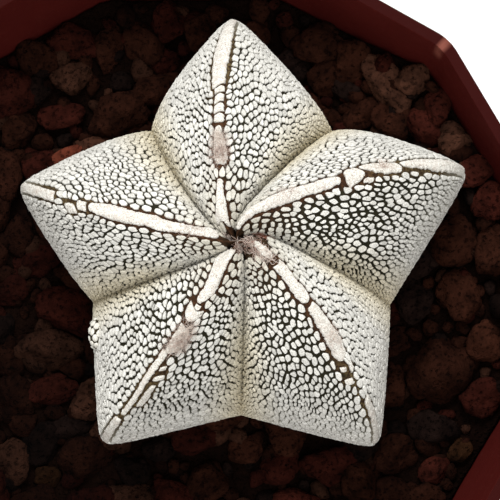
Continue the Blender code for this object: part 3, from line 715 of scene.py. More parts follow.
def settle(sheet, draw):
    """Seeds spread over a sheet, each in the middle of its own ground."""
    half = sheet.width.max() / 2
    length = sheet.length[-1]
    count = int(2 * half * length / FLECK_AREA * GROUND_POINTS)
    u = draw.uniform(-half, half, count)
    v = draw.uniform(sheet.top, length, count)
    edge = sheet.width_at(v) / 2
    near_crown = np.clip(1 - v / CROWN_SPAN, 0, 1)
    bare = bare_reach(sheet.flank, sheet.down_at(v))
    kept = (u > -edge + bare) & (u < edge - VALLEY_CLEARANCE)
    u, v, near_crown = u[kept], v[kept], near_crown[kept]
    longer = math.sqrt(FLECK_STRETCHES[sheet.flank])
    stretch = np.array((longer, 1 / longer))
    ground = np.stack((u, v), axis=1) * stretch
    weight = 1 / (1 - (1 - CROWN_SIZE) * near_crown) ** 2
    share = weight / weight.sum()
    seeds = ground[draw.choice(len(ground), int(len(ground) / GROUND_POINTS), False, share)]
    for _ in range(SETTLING_ROUNDS):
        owner = nearest_seed(ground, seeds)
        total = np.bincount(owner, weight, len(seeds))
        for axis in range(2):
            sums = np.bincount(owner, weight * ground[:, axis], len(seeds))
            seeds[:, axis] = np.where(total > 0, sums / np.maximum(total, TINY), seeds[:, axis])
    return seeds, stretch


def outlines(sheet, seeds, stretch, draw):
    """Reach of each fleck in a ring of directions, in the stretched sheet."""
    step = seeds[None, :, :] - seeds[:, None, :]
    apart = np.hypot(step[..., 0], step[..., 1])
    np.fill_diagonal(apart, math.inf)
    order = np.argsort(apart, axis=1)[:, :NEIGHBOURS]
    rows = np.arange(len(seeds))[:, None]
    step, apart = step[rows, order], apart[rows, order]
    u, v = seeds[:, 0] / stretch[0], seeds[:, 1] / stretch[1]
    groove = np.interp(sheet.down_at(v), *GROOVE_HALF)[:, None] * GROOVE_SHARES[sheet.flank]
    pair = np.sin((rows + 1.0) * (order + 1.0) * PAIR_HASH[0]) * PAIR_HASH[1]
    pair -= np.floor(pair)
    groove = groove * np.where(pair < CLOSED_SHARE, CLOSED_GROOVE, GROOVE_LEAST + pair)
    toward = step / apart[..., None]
    limit = np.maximum(apart / 2 - groove, LEAST_REACH)
    edge = sheet.width_at(v) / 2
    walls = (
        ((-1.0, 0.0), (u + edge - bare_reach(sheet.flank, sheet.down_at(v))) * stretch[0]),
        ((1.0, 0.0), (edge - VALLEY_CLEARANCE - u) * stretch[0]),
        ((0.0, -1.0), (v - sheet.top) * stretch[1] + END_ROOM),
        ((0.0, 1.0), (sheet.length[-1] - v) * stretch[1] + END_ROOM),
    )
    for direction, room in walls:
        wall = np.broadcast_to(np.array(direction), (len(seeds), 1, 2))
        toward = np.concatenate((toward, wall), axis=1)
        limit = np.concatenate((limit, np.maximum(room, LEAST_ROOM)[:, None]), axis=1)
    turns = 2 * np.pi * np.arange(FLECK_SIDES) / FLECK_SIDES
    rays = np.stack((np.cos(turns), np.sin(turns)), axis=1)
    facing = np.maximum(toward @ rays.T, 0) / limit[..., None]
    power = CORNER_SHARPNESS
    reach = ((facing**power).sum(axis=1) + FLECK_LIMIT**-power) ** (-1 / power)
    return reach * draw.uniform(*OUTLINE_WANDER, reach.shape)


def lay_flecks(flank):
    """All the flecks of one flank as copies of the pad, with a tone, darkened near the crown as
    painted shade, and a creaminess for each.
    """
    sheet = sheets[flank]
    draw = np.random.default_rng(FLECK_SEED + flank)
    seeds, stretch = settle(sheet, draw)
    reach = outlines(sheet, seeds, stretch, draw)
    radius = np.hypot(pad_points[:, 0], pad_points[:, 1])
    turns = np.arctan2(pad_points[:, 1], pad_points[:, 0]) / (2 * np.pi) * FLECK_SIDES
    side = np.rint(turns).astype(int) % FLECK_SIDES
    out = reach[:, side] * radius
    turn = 2 * np.pi * side / FLECK_SIDES
    u = (seeds[:, :1] + out * np.cos(turn)) / stretch[0]
    v = (seeds[:, 1:] + out * np.sin(turn)) / stretch[1]
    tall = draw.uniform(*FLECK_HEIGHT, (len(seeds), 1))
    lean = draw.normal(0, FLECK_TILT, (len(seeds), 1)) * np.cos(turn) * radius
    points = sheet.raised(u, v, tall * (pad_points[:, 2] + lean))
    across, down = sheet.places(seeds[:, 0] / stretch[0], seeds[:, 1] / stretch[1])
    by_valley = np.interp(across, *CREAM_ACROSS) * np.interp(down, *CREAM_DOWN)
    by_crown = np.interp(down, *CROWN_FADE)
    # each fleck has its own tone, darkened near the crown by painted shade
    tone = draw.uniform(*FLECK_TONES, len(seeds)) * (1 - CROWN_SHADE_SHARE * by_crown)
    return points, tone, np.maximum(by_valley, CROWN_CREAM * by_crown)


FLECK_WHITES = (0.50, 0.48, 0.42), (0.90, 0.89, 0.84)
CREAM_TINT, CREAM_SHARE = (1.0, 0.89, 0.64), 0.8
FLECK_SHADES = (0.58, 1.0)
SHARP_EDGE = math.radians(25)
fleck_finish = Finish("fleck_wool", 0.9, 0.15)
wool_grain = fleck_finish.noise(0.11 * MM, 4, 0.65)
white = fleck_finish.mix(fleck_finish.fit(wool_grain, 0.36, 0.60), *FLECK_WHITES)
how_creamy = fleck_finish.fit(fleck_finish.painted("cream"), 0, 1, 0, CREAM_SHARE)
creamy = fleck_finish.mix(how_creamy, (1, 1, 1), CREAM_TINT)
shade = fleck_finish.fit(fleck_finish.painted("tone"), 0, 1, *FLECK_SHADES)
tinted = fleck_finish.mix(1.0, white, creamy, "MULTIPLY")
fleck_finish.colour(fleck_finish.mix(1.0, tinted, shade, "MULTIPLY"))
fleck_finish.bump(wool_grain, 0.05 * MM)

for rib in range(RIBS):
    points, tones, creams = map(
        np.concatenate, zip(lay_flecks(2 * rib), lay_flecks(2 * rib + 1))
    )
    pads = join_shapes(f"flecks_rib_{rib + 1}", [(pad, pad_faces) for pad in points])
    pads.data.set_sharp_from_angle(angle=SHARP_EDGE)
    for name, values in (("tone", tones), ("cream", creams)):
        paint(pads, name, np.repeat(values, len(pad_points)))
    declare(pads, fleck_finish, "flecked_skin")
    print("  flecks:", len(points))

# %% [markdown]
# A band is a low, flat cushion of wool along the ridge. It is swept like a tube: one ring of
# points after another follows the ridge between the band's two edges, with a flat back above the
# skin and a few points below it. The ends are rounded in plan, and the edges wander and fray a
# little as felted wool does.

# %% Wool bands
BAND_STEP = 0.11  # between rings along the ridge in mm
BAND_LEAST_RINGS = 6
BAND_BACK, BAND_CROWDING = 15, 0.6  # points over the back of a ring, crowded towards its edges
BAND_FOOT = 0.55  # width of its foot under the skin against its back
BAND_HEIGHT, BAND_SINK, BAND_EDGE_SINK = 0.27, 0.25, 0.05
BAND_END, BAND_END_SHARE = 0.25, 0.15  # how far its ends are rounded in mm, and at most
BAND_TIP = 0.5  # width of its very end against the rest
BAND_FLATNESS = 9  # the higher, the flatter its back
BAND_TOP = 0.1  # lumps stand only on the part of the back above this
BAND_LUMPS = ((0.5, 0.06), (0.2, 0.06))  # scale of the lumps on its back, and how high, in mm
EDGE_WANDER = ((0.9, 0.12), (0.35, 0.13), (0.17, 0.11))  # the same for its wandering edge
EDGE_APART, BAND_APART = 9.0, 50  # steps in the noise, so that no two edges or bands are alike


def over_ridge(rib, distance, down, height):
    """Points at a distance to either side of a ridge line, in millimetres; past it counts up."""
    points = np.empty((*np.shape(distance), 3))
    for behind, side in ((False, distance >= 0), (True, distance < 0)):
        flank = 2 * rib + behind
        across = sheets[flank].across_at(np.abs(distance[side]), down[side])
        normal = outward(flank, np.maximum(across, NORMAL_STEP), down[side])
        lift = normal * height[side][:, None] * MM
        points[side] = skin(flank, across, down[side]) + lift
    return points


def make_band(rib, stations):
    """Points and faces of one band."""
    place, near, far = np.array(stations).T
    line = skin(2 * rib, 0, place[[0, -1]]) / MM
    length = np.linalg.norm(line[1] - line[0])
    rings = max(BAND_LEAST_RINGS, int(length / BAND_STEP)) + 1
    along = np.linspace(0, 1, rings)
    down = place[0] + (place[-1] - place[0]) * along
    to_end = np.minimum(along, 1 - along) * length
    end = min(BAND_END, BAND_END_SHARE * length)
    slim = np.sqrt(1 - (1 - np.clip(to_end / end, 0, 1)) ** 2) * (1 - BAND_TIP) + BAND_TIP
    own = rib + place[0] * BAND_APART
    edges = []
    for side, reach in ((-EDGE_APART, near), (EDGE_APART, far)):
        wander = [
            sum(most * noise.noise(Vector((at * length / scale, side, own)))
                for scale, most in EDGE_WANDER)
            for at in along
        ]
        edges.append(np.interp(down, place, reach) + np.array(wander))
    middle, half = (edges[0] + edges[1]) / 2, np.abs(edges[1] - edges[0]) / 2 * slim
    over = np.linspace(-1, 1, BAND_BACK)
    over = np.sign(over) * np.abs(over) ** BAND_CROWDING
    across = np.concatenate((over, (BAND_FOOT, -BAND_FOOT)))
    back = BAND_HEIGHT * (1 - np.abs(over) ** BAND_FLATNESS) - BAND_EDGE_SINK
    height = np.concatenate((back, (-BAND_SINK, -BAND_SINK)))
    distance = middle[:, None] + across[None, :] * half[:, None]
    heights = np.repeat(height[None, :], rings, axis=0) * np.where(height > 0, slim[:, None], 1)
    for row in range(rings):
        for column in np.flatnonzero(height > BAND_TOP):
            spot = Vector((along[row] * length, distance[row, column], own))
            heights[row, column] += sum(
                tall * noise.noise(spot / scale) for scale, tall in BAND_LUMPS
            )
    down = np.repeat(down[:, None], len(across), axis=1)
    points = over_ridge(rib, distance, down, heights).reshape(-1, 3)
    return points, tube_faces(rings, len(across))


def tube_faces(rings, sides):
    """Faces of a closed tube of rings that each have the same number of points."""
    faces = []
    for row in range(rings - 1):
        for corner in range(sides):
            following = (corner + 1) % sides
            faces.append((
                row * sides + corner, row * sides + following,
                (row + 1) * sides + following, (row + 1) * sides + corner,
            ))
    faces.append(tuple(reversed(range(sides))))
    faces.append(tuple((rings - 1) * sides + corner for corner in range(sides)))
    return faces


def face_outwards(thing):
    """Turn a closed mesh's faces outwards."""
    bpy.ops.object.select_all(action="DESELECT")
    bpy.context.view_layer.objects.active = thing
    thing.select_set(True)
    bpy.ops.object.mode_set(mode="EDIT")
    bpy.ops.mesh.select_all(action="SELECT")
    bpy.ops.mesh.normals_make_consistent(inside=False)
    bpy.ops.object.mode_set(mode="OBJECT")


BAND_WHITES = (0.44, 0.41, 0.35), (0.87, 0.85, 0.79)
SPECKLE, BLUSH = (0.22, 0.15, 0.11), (0.50, 0.40, 0.34)
band_finish = Finish("band_wool", 0.9, 0.15)
fibre = band_finish.noise(0.11 * MM, 4, 0.65)
felt = band_finish.mix(band_finish.fit(fibre, 0.38, 0.60), *BAND_WHITES)
speckles = band_finish.fit(band_finish.noise(0.28 * MM, 4, 0.7), 0.54, 0.68, 0, 0.8)
blushes = band_finish.fit(band_finish.noise(0.9 * MM, 3), 0.50, 0.68, 0, 0.35)
band_finish.colour(band_finish.mix(blushes, band_finish.mix(speckles, felt, SPECKLE), BLUSH))
band_finish.bump(fibre, 0.08 * MM)
bands = join_shapes("ridge_bands", [make_band(*row) for row in BANDS])
face_outwards(bands)
declare(bands, band_finish, "flecked_skin")

# %% [markdown]
# The areoles, where a plant of this family would grow its spines, carry only tufts of loose wool.
# In the crown the newest ones crowd together in a brownish knot, where the hairs stand on bare
# skin and cling together in strands. Each hair is a thin tapering tube that leaves the surface,
# arches over and sways. A table of tufts says where they lie, how long and wide each is, how many
# hairs it has and how grey or brown they are.

# %% Woolly tufts
TUFTS = (
    # rib, place down, past the ridge in mm, half length, half width in mm, hairs, brownness
    (1, 0.235, -0.1, 0.9, 0.9, 170, 0.40),
    (1, 0.280, -0.1, 0.7, 0.7, 110, 0.05),
    (3, 0.275, 0.5, 0.8, 0.9, 110, 0.0),
    (3, 0.315, 0.6, 1.0, 0.9, 130, 0.35),
    (3, 0.340, 0.6, 0.9, 1.0, 110, 0.05),
    (0, 0.462, 0.7, 0.9, 0.6, 50, 0.20),
    (0, 0.17, 0.2, 1.5, 0.4, 30, 0.5),
    (2, 0.13, -0.6, 0.9, 0.6, 30, 0.3),
    (4, 0.375, 0.4, 0.9, 0.6, 50, 0.15),
    (4, 0.090, -0.4, 1.1, 0.6, 75, 0.15),
    (4, 0.060, -0.4, 0.8, 0.8, 60, 0.35),
    (4, 0.035, 0.1, 0.7, 0.8, 45, 0.45),
    (4, 0.092, 3.6, 0.7, 0.9, 50, 0.9),
    (1, 0.028, 1.6, 0.8, 0.7, 60, 0.20),
    (1, 0.052, 3.6, 0.7, 0.9, 60, 0.30),
    (3, 0.020, 1.0, 0.6, 0.6, 50, 0.30),
)
HAIR_SEED = 77
HAIR_LENGTH = (0.6, 1.6)
HAIR_RADIUS, HAIR_TAPER = 0.020, 0.7
CROWN_EDGE = 0.1  # the tufts above this place down stand in the crown, on bare brown skin
CROWN_HAIR = 1.9  # where the hairs cling together in strands that are this much thicker
HAIR_RINGS = 7
HAIR_SIDES = 3
HAIR_ARCH, ARCH_VARIETY, ARCH_TURN = 0.30, (0.3, 1.3), 2.6  # against its length, and in radians
HAIR_SWAY, SWAY_TURNS = 0.22, (3, 8)
HAIR_ROOT, CROWN_ROOT = 0.12, 0.05  # how far a hair stands in the wool or the skin below, in mm
TONE_VARIETY = 0.45
RIDGE_STEP = 0.01  # step down a ridge to measure how many millimetres it takes


def tuft_hairs(tuft, draw):
    """Points of all the hairs of one tuft, and a tone for each."""
    rib, down, past, half_length, half_width, count, brownness = tuft
    around = draw.uniform(0, 2 * np.pi, count)
    out = np.sqrt(draw.uniform(0, 1, count))
    run = skin(2 * rib, 0, down + RIDGE_STEP) - skin(2 * rib, 0, down)
    a_millimetre = MM * RIDGE_STEP / np.linalg.norm(run)
    down_each = np.maximum(down + out * np.cos(around) * half_length * a_millimetre, SHEET_TOP)
    past_each = past + out * np.sin(around) * half_width
    in_crown = down < CROWN_EDGE
    root = -CROWN_ROOT if in_crown else BAND_HEIGHT - HAIR_ROOT
    base = over_ridge(rib, past_each, down_each, np.full(count, root)) / MM
    above = over_ridge(rib, past_each, down_each, np.full(count, BAND_HEIGHT + 1)) / MM
    up = unit(above - base)
    heading = draw.normal(size=(count, 3))
    heading = unit(heading - (heading * up).sum(axis=1, keepdims=True) * up)
    side = np.cross(up, heading)
    length = draw.uniform(*HAIR_LENGTH, (count, 1, 1))
    along = np.linspace(0, 1, HAIR_RINGS)[None, :, None]
    phase = draw.uniform(0, 2 * np.pi, (count, 1, 1))
    sway = np.sin(along * draw.uniform(*SWAY_TURNS, (count, 1, 1)) + phase) - np.sin(phase)
    path = base[:, None] + heading[:, None] * along * length
    arch = HAIR_ARCH * draw.uniform(*ARCH_VARIETY, (count, 1, 1))
    path = path + up[:, None] * np.sin(along * ARCH_TURN) * length * arch
    path = path + side[:, None] * sway * length * HAIR_SWAY
    turns = 2 * np.pi * np.arange(HAIR_SIDES) / HAIR_SIDES
    ring = (
        np.cos(turns)[None, :, None] * side[:, None] + np.sin(turns)[None, :, None] * up[:, None]
    )
    thick = HAIR_RADIUS * (CROWN_HAIR if in_crown else 1) * (1 - HAIR_TAPER * along)
    points = path[:, :, None] + ring[:, None] * thick[..., None]
    tone = np.clip(brownness + draw.uniform(-TONE_VARIETY, TONE_VARIETY, count), 0, 1)
    return points.reshape(count, -1, 3) * MM, tone


PALE_HAIRS, BROWN_HAIR = ((0.62, 0.50, 0.42), (0.88, 0.80, 0.72)), (0.20, 0.062, 0.032)
hair_finish = Finish("loose_wool", 0.8, 0.2)
pale_hair = hair_finish.mix(hair_finish.noise(0.5 * MM), *PALE_HAIRS)
hair_finish.colour(hair_finish.mix(hair_finish.painted("tone"), pale_hair, BROWN_HAIR))

hair_draw = np.random.default_rng(HAIR_SEED)
tufts = [tuft_hairs(tuft, hair_draw) for tuft in TUFTS]
hair_points, hair_tones = map(np.concatenate, zip(*tufts))
hair_faces = tube_faces(HAIR_RINGS, HAIR_SIDES)
hairs = join_shapes("areole_wool", [(hair, hair_faces) for hair in hair_points])
paint(hairs, "tone", np.repeat(hair_tones, HAIR_RINGS * HAIR_SIDES))
face_outwards(hairs)
declare(hairs, hair_finish, "flecked_skin")

# %% [markdown]
# Low on one flank a small knob stands out, the start of an offset. It is a squashed sphere half
# sunk in the skin, green like it, with a handful of rounder flecks of its own on its outer side.

# %% Knob
KNOB_PLACE = (7, 0.66, 0.84)  # flank, across, down
KNOB_HALF = (1.9, 1.6, 0.95)  # along the flank's width, along its length, and outwards, in mm
KNOB_FLECKS = 17
KNOB_FLECK = (0.50, 0.42, 0.17)  # half sizes of a fleck in mm
KNOB_BROWN, KNOB_DOWN = 0.3, 0.6  # what is painted on it, as on the skin
KNOB_TONE, KNOB_CREAM = 0.8, 0.15  # and on its flecks, as on the others
ODD_WAY = (0.3, 0.5, 0.8)  # a direction that no fleck faces, to turn each one by


def make_knob():
    """The knob, and its flecks as copies of one flattened ball."""
    flank, across, down = KNOB_PLACE
    middle = skin(flank, across, down)
    up = outward(flank, across, down)
    along = unit(skin(flank, across, down + RIDGE_STEP) - middle)
    axes = np.stack((np.cross(along, up), along, up))
    body = ball("flank_knob", 24, 12)
    move_points(body, middle + points_of(body) * KNOB_HALF * MM @ axes)
    bpy.ops.object.shade_smooth()
    for name, value in (("brown", KNOB_BROWN), ("down", KNOB_DOWN)):
        paint(body, name, np.full(len(body.data.vertices), value))
    pad, faces = take_pattern(ball("pad", 8, 5))
    shapes = []
    for number in range(KNOB_FLECKS):
        height = 1 - (number + 0.5) / KNOB_FLECKS
        turn = number * math.pi * (3 - math.sqrt(5))
        ring = math.sqrt(1 - height**2)
        out = np.array((ring * math.cos(turn), ring * math.sin(turn), height))
        across_pad = unit(np.cross(out, ODD_WAY))
        local = pad * KNOB_FLECK @ np.stack((across_pad, np.cross(out, across_pad), out))
        shapes.append((middle + (out * KNOB_HALF + local) * MM @ axes, faces))
    flecks = join_shapes("knob_flecks", shapes)
    for name, value in (("tone", KNOB_TONE), ("cream", KNOB_CREAM)):
        paint(flecks, name, np.full(len(flecks.data.vertices), value))
    return body, flecks


for knob_piece, knob_finish in zip(make_knob(), (skin_finish, fleck_finish)):
    face_outwards(knob_piece)
    declare(knob_piece, knob_finish, "flecked_skin")

# %% [markdown]
# Stones next. Crushed lava breaks into angular lumps with worn corners and many small pits. A
# lump starts as an icosphere; every point is moved in to the nearest of a dozen random planes,
# with a soft minimum that wears the edges, and then roughened. Eight such lumps are made once,
# and each stone is a turned and sized copy of one of them.

# %% Stone patterns
LUMP_PLANES, LUMP_DEPTHS = 12, (0.62, 1.0)  # how many planes break it, and how far out they lie
LUMP_EDGE = 16  # the higher, the sharper the broken edges
LUMP_BALL = 0.4  # how much the ball itself holds the points in
LUMP_ROUGHNESS = ((0.12, 1.9), (0.08, 4.5), (0.05, 10.0))  # height of each noise, and how fine
LUMP_KINDS, LUMP_SEED = 8, 40


def make_lump(kind, subdivisions):
    """A crushed stone that fills the space from -1 to 1 along each axis."""
    points, faces = take_pattern(primitive(
        "lump", bpy.ops.mesh.primitive_ico_sphere_add, subdivisions=subdivisions, radius=1
    ))
    draw = np.random.default_rng(LUMP_SEED + kind)
    planes = unit(draw.normal(size=(LUMP_PLANES, 3)))
    facing = np.maximum(points @ planes.T, 0) / draw.uniform(*LUMP_DEPTHS, LUMP_PLANES)
    reach = ((facing**LUMP_EDGE).sum(axis=1) + LUMP_BALL) ** (-1 / LUMP_EDGE)
    shifts = [Vector(row) for row in kind * np.eye(3)]
    rough = np.array([
        sum(tall * noise.noise(Vector(point) * fineness + shift)
            for (tall, fineness), shift in zip(LUMP_ROUGHNESS, shifts))
        for point in points
    ])
    points = points * (reach * (1 + rough))[:, None]
    return points / np.abs(points).max(axis=0), faces


fine_lumps = [make_lump(kind, 4) for kind in range(LUMP_KINDS)]
small_lumps = [make_lump(kind, 2) for kind in range(LUMP_KINDS)]
print("lump points:", len(fine_lumps[0][0]), "and", len(small_lumps[0][0]))

# %% [markdown]
# The larger stones lie where they lie in the pot: the table gives each one's middle, length,
# width and turn, and its colour. Smaller ones fill the room between, drawn from a seed in the
# same way as the CAD model fills it, so that both hold the same stones. The stones are painted
# paler on the heap and darker away from it, as painted shade where less light reaches the gravel.

# %% Where the stones lie
POT_HEIGHT, RIM_REACH, RIM_STEP, TAPER, WALL, GAP = 80.0, 45.0, 0.6, 0.125, 0.8, 0.3  # in mm
POT_SIDES = 12
FLOOR_TOP = 4.2
GRAVEL_LEVEL = 62.5
HEAP_BEARING, HEAP_HEIGHT = math.radians(30), 9.0
BANK_BEARING, BANK_HEIGHT = math.radians(130), 3.0
STONE_FLATNESS, STONE_LIFT, STONE_SPREAD = 0.72, 0.10, 1.14
FILL_SEED, FILL_TRIES, FILL_ACROSS, FILL_STRETCH = 11, 6000, (4.2, 6.4), (1.05, 1.5)
FILL_OVERLAP, FILL_TO_PLANT = 0.44, 0.25
BROWN = (0.027, 0.0085, 0.0046)
TAN = (0.052, 0.021, 0.0125)
RED = (0.034, 0.0074, 0.0046)
GREY = (0.0125, 0.0062, 0.0048)
OCHRE = (0.034, 0.0135, 0.0055)
DUSTY = (0.13, 0.032, 0.0175)
GRAVEL_PAINTED_SHADE = ((-25, 0, 15, 30), (0.24, 0.66, 0.46, 0.75))  # towards the heap, and how light the painted shade leaves the stones
PLACED_STONES = (
    # middle, length, width in mm, turn in degrees, colour
    (17.5, 36.0, 7.0, 5.4, 5, BROWN), (25.6, 29.6, 9.0, 4.6, -58, TAN),
    (30.0, 30.4, 4.8, 3.8, 10, TAN), (33.0, 26.6, 5.2, 3.4, 70, RED),
    (36.0, 22.4, 4.2, 3.6, 20, TAN), (37.8, 18.4, 4.6, 3.6, 35, RED),
    (22.4, 25.8, 5.6, 4.0, 60, BROWN), (20.4, 29.2, 3.6, 3.2, 0, GREY),
    (30.8, 23.6, 5.6, 4.6, -20, RED), (17.6, 31.0, 5.6, 4.4, 80, BROWN),
    (13.0, 33.0, 3.8, 3.2, 0, GREY), (7.8, 36.6, 4.8, 4.2, 15, BROWN),
    (1.4, 37.4, 5.6, 4.6, 70, BROWN), (-3.4, 33.4, 3.8, 3.4, 0, RED),
    (-6.2, 35.6, 6.2, 4.8, -62, BROWN), (-10.9, 35.2, 6.4, 3.8, 74, BROWN),
    (-9.0, 30.6, 3.0, 2.8, 0, GREY), (-9.2, 26.4, 8.0, 6.8, 5, BROWN),
    (-15.8, 31.4, 5.4, 4.6, 32, TAN), (-20.4, 34.2, 6.0, 4.6, -30, BROWN),
    (-20.6, 29.4, 4.2, 3.6, 0, GREY), (-16.9, 26.0, 5.8, 3.4, 8, RED),
    (-22.6, 24.2, 5.4, 4.0, 82, BROWN), (-15.8, 20.6, 8.0, 3.6, 22, DUSTY),
    (-22.6, 10.4, 5.2, 4.0, 85, BROWN), (-23.6, 3.6, 5.0, 4.2, 20, RED),
    (-23.8, -5.8, 4.8, 4.2, 0, BROWN), (-18.2, -4.8, 8.6, 5.6, 10, TAN),
    (-18.7, -9.8, 8.2, 3.8, 6, RED), (-22.0, -14.0, 4.8, 3.2, -22, BROWN),
    (-15.8, -14.6, 5.6, 3.6, 12, GREY), (-23.2, -19.2, 5.8, 4.6, 75, TAN),
    (-13.6, -18.6, 6.8, 5.8, 50, BROWN), (-18.7, -21.2, 3.6, 3.2, 0, OCHRE),
    (-7.4, -20.0, 4.4, 3.8, 0, GREY), (-4.0, -17.4, 4.0, 3.4, 30, GREY),
    (-7.8, -23.8, 7.6, 3.6, 3, TAN), (1.4, -15.8, 7.2, 4.4, 4, RED),
    (7.2, -17.4, 4.4, 3.8, 40, BROWN), (11.6, -19.8, 5.6, 4.8, 20, RED),
    (18.0, -19.6, 7.6, 5.0, 12, RED), (26.4, -18.2, 5.6, 5.0, 30, BROWN),
    (26.2, -23.2, 5.2, 4.4, 0, BROWN), (31.8, -20.2, 4.4, 3.4, 25, RED),
    (31.6, -14.8, 6.0, 4.8, 15, GREY), (34.8, -17.6, 3.4, 3.0, 60, OCHRE),
    (32.4, -6.8, 9.0, 8.4, 20, BROWN), (38.2, -3.6, 5.0, 4.4, 80, BROWN),
    (37.8, -10.8, 5.0, 4.4, 40, RED), (26.6, -3.4, 4.4, 3.0, 52, BROWN),
    (29.2, 1.8, 6.2, 4.4, 80, GREY), (34.8, 2.4, 6.6, 5.6, 75, BROWN),
    (34.4, 9.4, 6.8, 6.2, 30, BROWN), (38.4, 13.6, 5.2, 4.0, 70, RED),
)


def wall_reach(z):
    """Distance from the pot's axis to a flat of its outer wall at a height, in mm."""
    return RIM_REACH - RIM_STEP - TAPER * (POT_HEIGHT - z)


def grit_height(x, y):
    """Height of the grit between the stones, heaped and banked against the wall, in mm."""
    bearing = math.atan2(y, x)
    heap = HEAP_HEIGHT * max(0, math.cos(bearing - HEAP_BEARING)) ** 4
    bank = BANK_HEIGHT * max(0, math.cos(bearing - BANK_BEARING)) ** 2
    return GRAVEL_LEVEL + (heap + bank) * min(1, math.hypot(x, y) / wall_reach(GRAVEL_LEVEL)) ** 3


def held_inside(x, y, half):
    """Move a stone's middle in from the wall until the stone clears each of its sides."""
    limit = wall_reach(grit_height(x, y)) - WALL - GAP - half
    for side in range(POT_SIDES):
        bearing = 2 * math.pi * side / POT_SIDES
        excess = max(0, x * math.cos(bearing) + y * math.sin(bearing) - limit)
        x -= excess * math.cos(bearing)
        y -= excess * math.sin(bearing)
    return x, y


def from_plant(x, y):
    """Distance from the plant's axis to a point of the gravel, in mm."""
    return math.hypot(x - PLANT_PLACE[0] / MM, y - PLANT_PLACE[1] / MM)


def body_reach(x, y):
    """Reach of the body at the soil line towards a point of the gravel, in mm."""
    bearing = math.atan2(y - PLANT_PLACE[1] / MM, x - PLANT_PLACE[0] / MM) % (2 * math.pi)
    tuck = math.sqrt(1 - (RIDGE_SHOULDER / RIDGE_TUCK) ** 2)
    for flank in range(FLANKS):
        ridge_at, _, valley_at, _ = flank_corners(flank, 1)
        for turned in (bearing, bearing - 2 * math.pi):
            across = (turned - ridge_at) / (valley_at - ridge_at)
            if 0 <= across <= 1:
                return float(star(flank, across, tuck, tuck, 1)[1])
    return 0.0


def stone_places():
    """Middle, length, width, turn and colour of every stone."""
    stones = []
    for x, y, length, width, turn, colour in PLACED_STONES:
        x, y = held_inside(x, y, width / 2)
        stones.append((x, y, length, width, math.radians(turn), colour))
    draw = random.Random(FILL_SEED)
    reach = wall_reach(GRAVEL_LEVEL)
    for _ in range(FILL_TRIES):
        x, y = draw.uniform(-reach, reach), draw.uniform(-reach, reach)
        width = draw.uniform(*FILL_ACROSS)
        length = width * draw.uniform(*FILL_STRETCH)
        turn = draw.uniform(0, math.pi)
        if (x, y) != held_inside(x, y, width / 2):
            continue
        if from_plant(x, y) < body_reach(x, y) + width * FILL_TO_PLANT:
            continue
        if all(math.hypot(x - other[0], y - other[1]) > FILL_OVERLAP * (width + other[3])
               for other in stones):
            stones.append((x, y, length, width, turn, None))
    return stones


def painted_lightness(x, y):
    """How light a stone is painted at its place: painted shade darkens it away from the heap."""
    towards_heap = x * math.cos(HEAP_BEARING) + y * math.sin(HEAP_BEARING)
    return float(np.interp(towards_heap, *GRAVEL_PAINTED_SHADE))


stones = stone_places()
print("stones:", len(stones))

# %% [markdown]
# Under and between the stones lies fine dark grit, which fills the pot; its colour is painted near
# black, as the shade deep between the stones. It is one closed body: a disc of rings and spokes
# whose top follows the heap and is roughened grain by grain, with a skirt that leans in with the
# pot's wall and a flat bottom.

# %% Grit bed
BED_SPOKES = 288
BED_RINGS = 96
CORNER_ROUNDING = 5.5
GRAIN_HEIGHT = ((1.5, 0.45), (0.7, 0.30))  # scale of the grains and how far they stand out, in mm
BOTTOM_REACHES = (1, 0.5, 0)  # of the rings on the flat bottom, against the wall's


def wall_at(bearing, z):
    """Reach of the gravel towards a bearing at a height, up to the pot's twelve-sided wall."""
    half_side = math.pi / POT_SIDES
    flat = wall_reach(z) - WALL - GAP
    off_middle = (bearing + half_side) % (2 * half_side) - half_side
    corner = flat / math.cos(half_side) - CORNER_ROUNDING * (1 / math.cos(half_side) - 1)
    return min(flat / math.cos(off_middle), corner)


def make_bed():
    """The grit as a closed mesh."""
    spans = BED_RINGS + len(BOTTOM_REACHES)
    thing = ball("grit_bed", BED_SPOKES, spans)
    old = points_of(thing)
    ring = ring_numbers(old, spans)
    bottom = FLOOR_TOP + GAP
    new = np.empty_like(old)
    for number, (x, y, _) in enumerate(old):
        bearing = math.atan2(y, x)
        row = ring[number]
        if row <= BED_RINGS:
            share = row / BED_RINGS
            reach = share * wall_at(bearing, GRAVEL_LEVEL)
            z = grit_height(reach * math.cos(bearing), reach * math.sin(bearing))
            reach = share * wall_at(bearing, z)
            spot = Vector((reach * math.cos(bearing), reach * math.sin(bearing), 0))
            z += sum(tall * noise.noise(spot / scale) for scale, tall in GRAIN_HEIGHT)
        else:
            z = bottom
            reach = wall_at(bearing, z) * BOTTOM_REACHES[row - BED_RINGS - 1]
        new[number] = (reach * math.cos(bearing), reach * math.sin(bearing), z)
    move_points(thing, new * MM)
    bpy.ops.object.shade_smooth()
    return thing


# the grit is painted near black, as the shade deep between the stones
GRIT_IN_SHADE = (0.0008, 0.0004, 0.0003), (0.007, 0.0028, 0.0017)
grit_finish = Finish("dark_grit", 0.95, 0.02)
grit_finish.colour(grit_finish.mix(grit_finish.noise(0.8 * MM, 4, 0.7), *GRIT_IN_SHADE))
grit_finish.bump(grit_finish.fit(grit_finish.cells(0.5 * MM), 0.0, 0.5, 1, 0), 0.25 * MM)
grit_finish.bump(grit_finish.noise(0.2 * MM, 4), 0.10 * MM)
grit = make_bed()
declare(grit, grit_finish, "lava_stone", "gravel_bed")

# %% [markdown]
# Each stone is a copy of a lump, turned any way up, stretched to its length and width, and tilted
# a little. Finer chips lie between and half under the stones, and dark grit fills what is left.

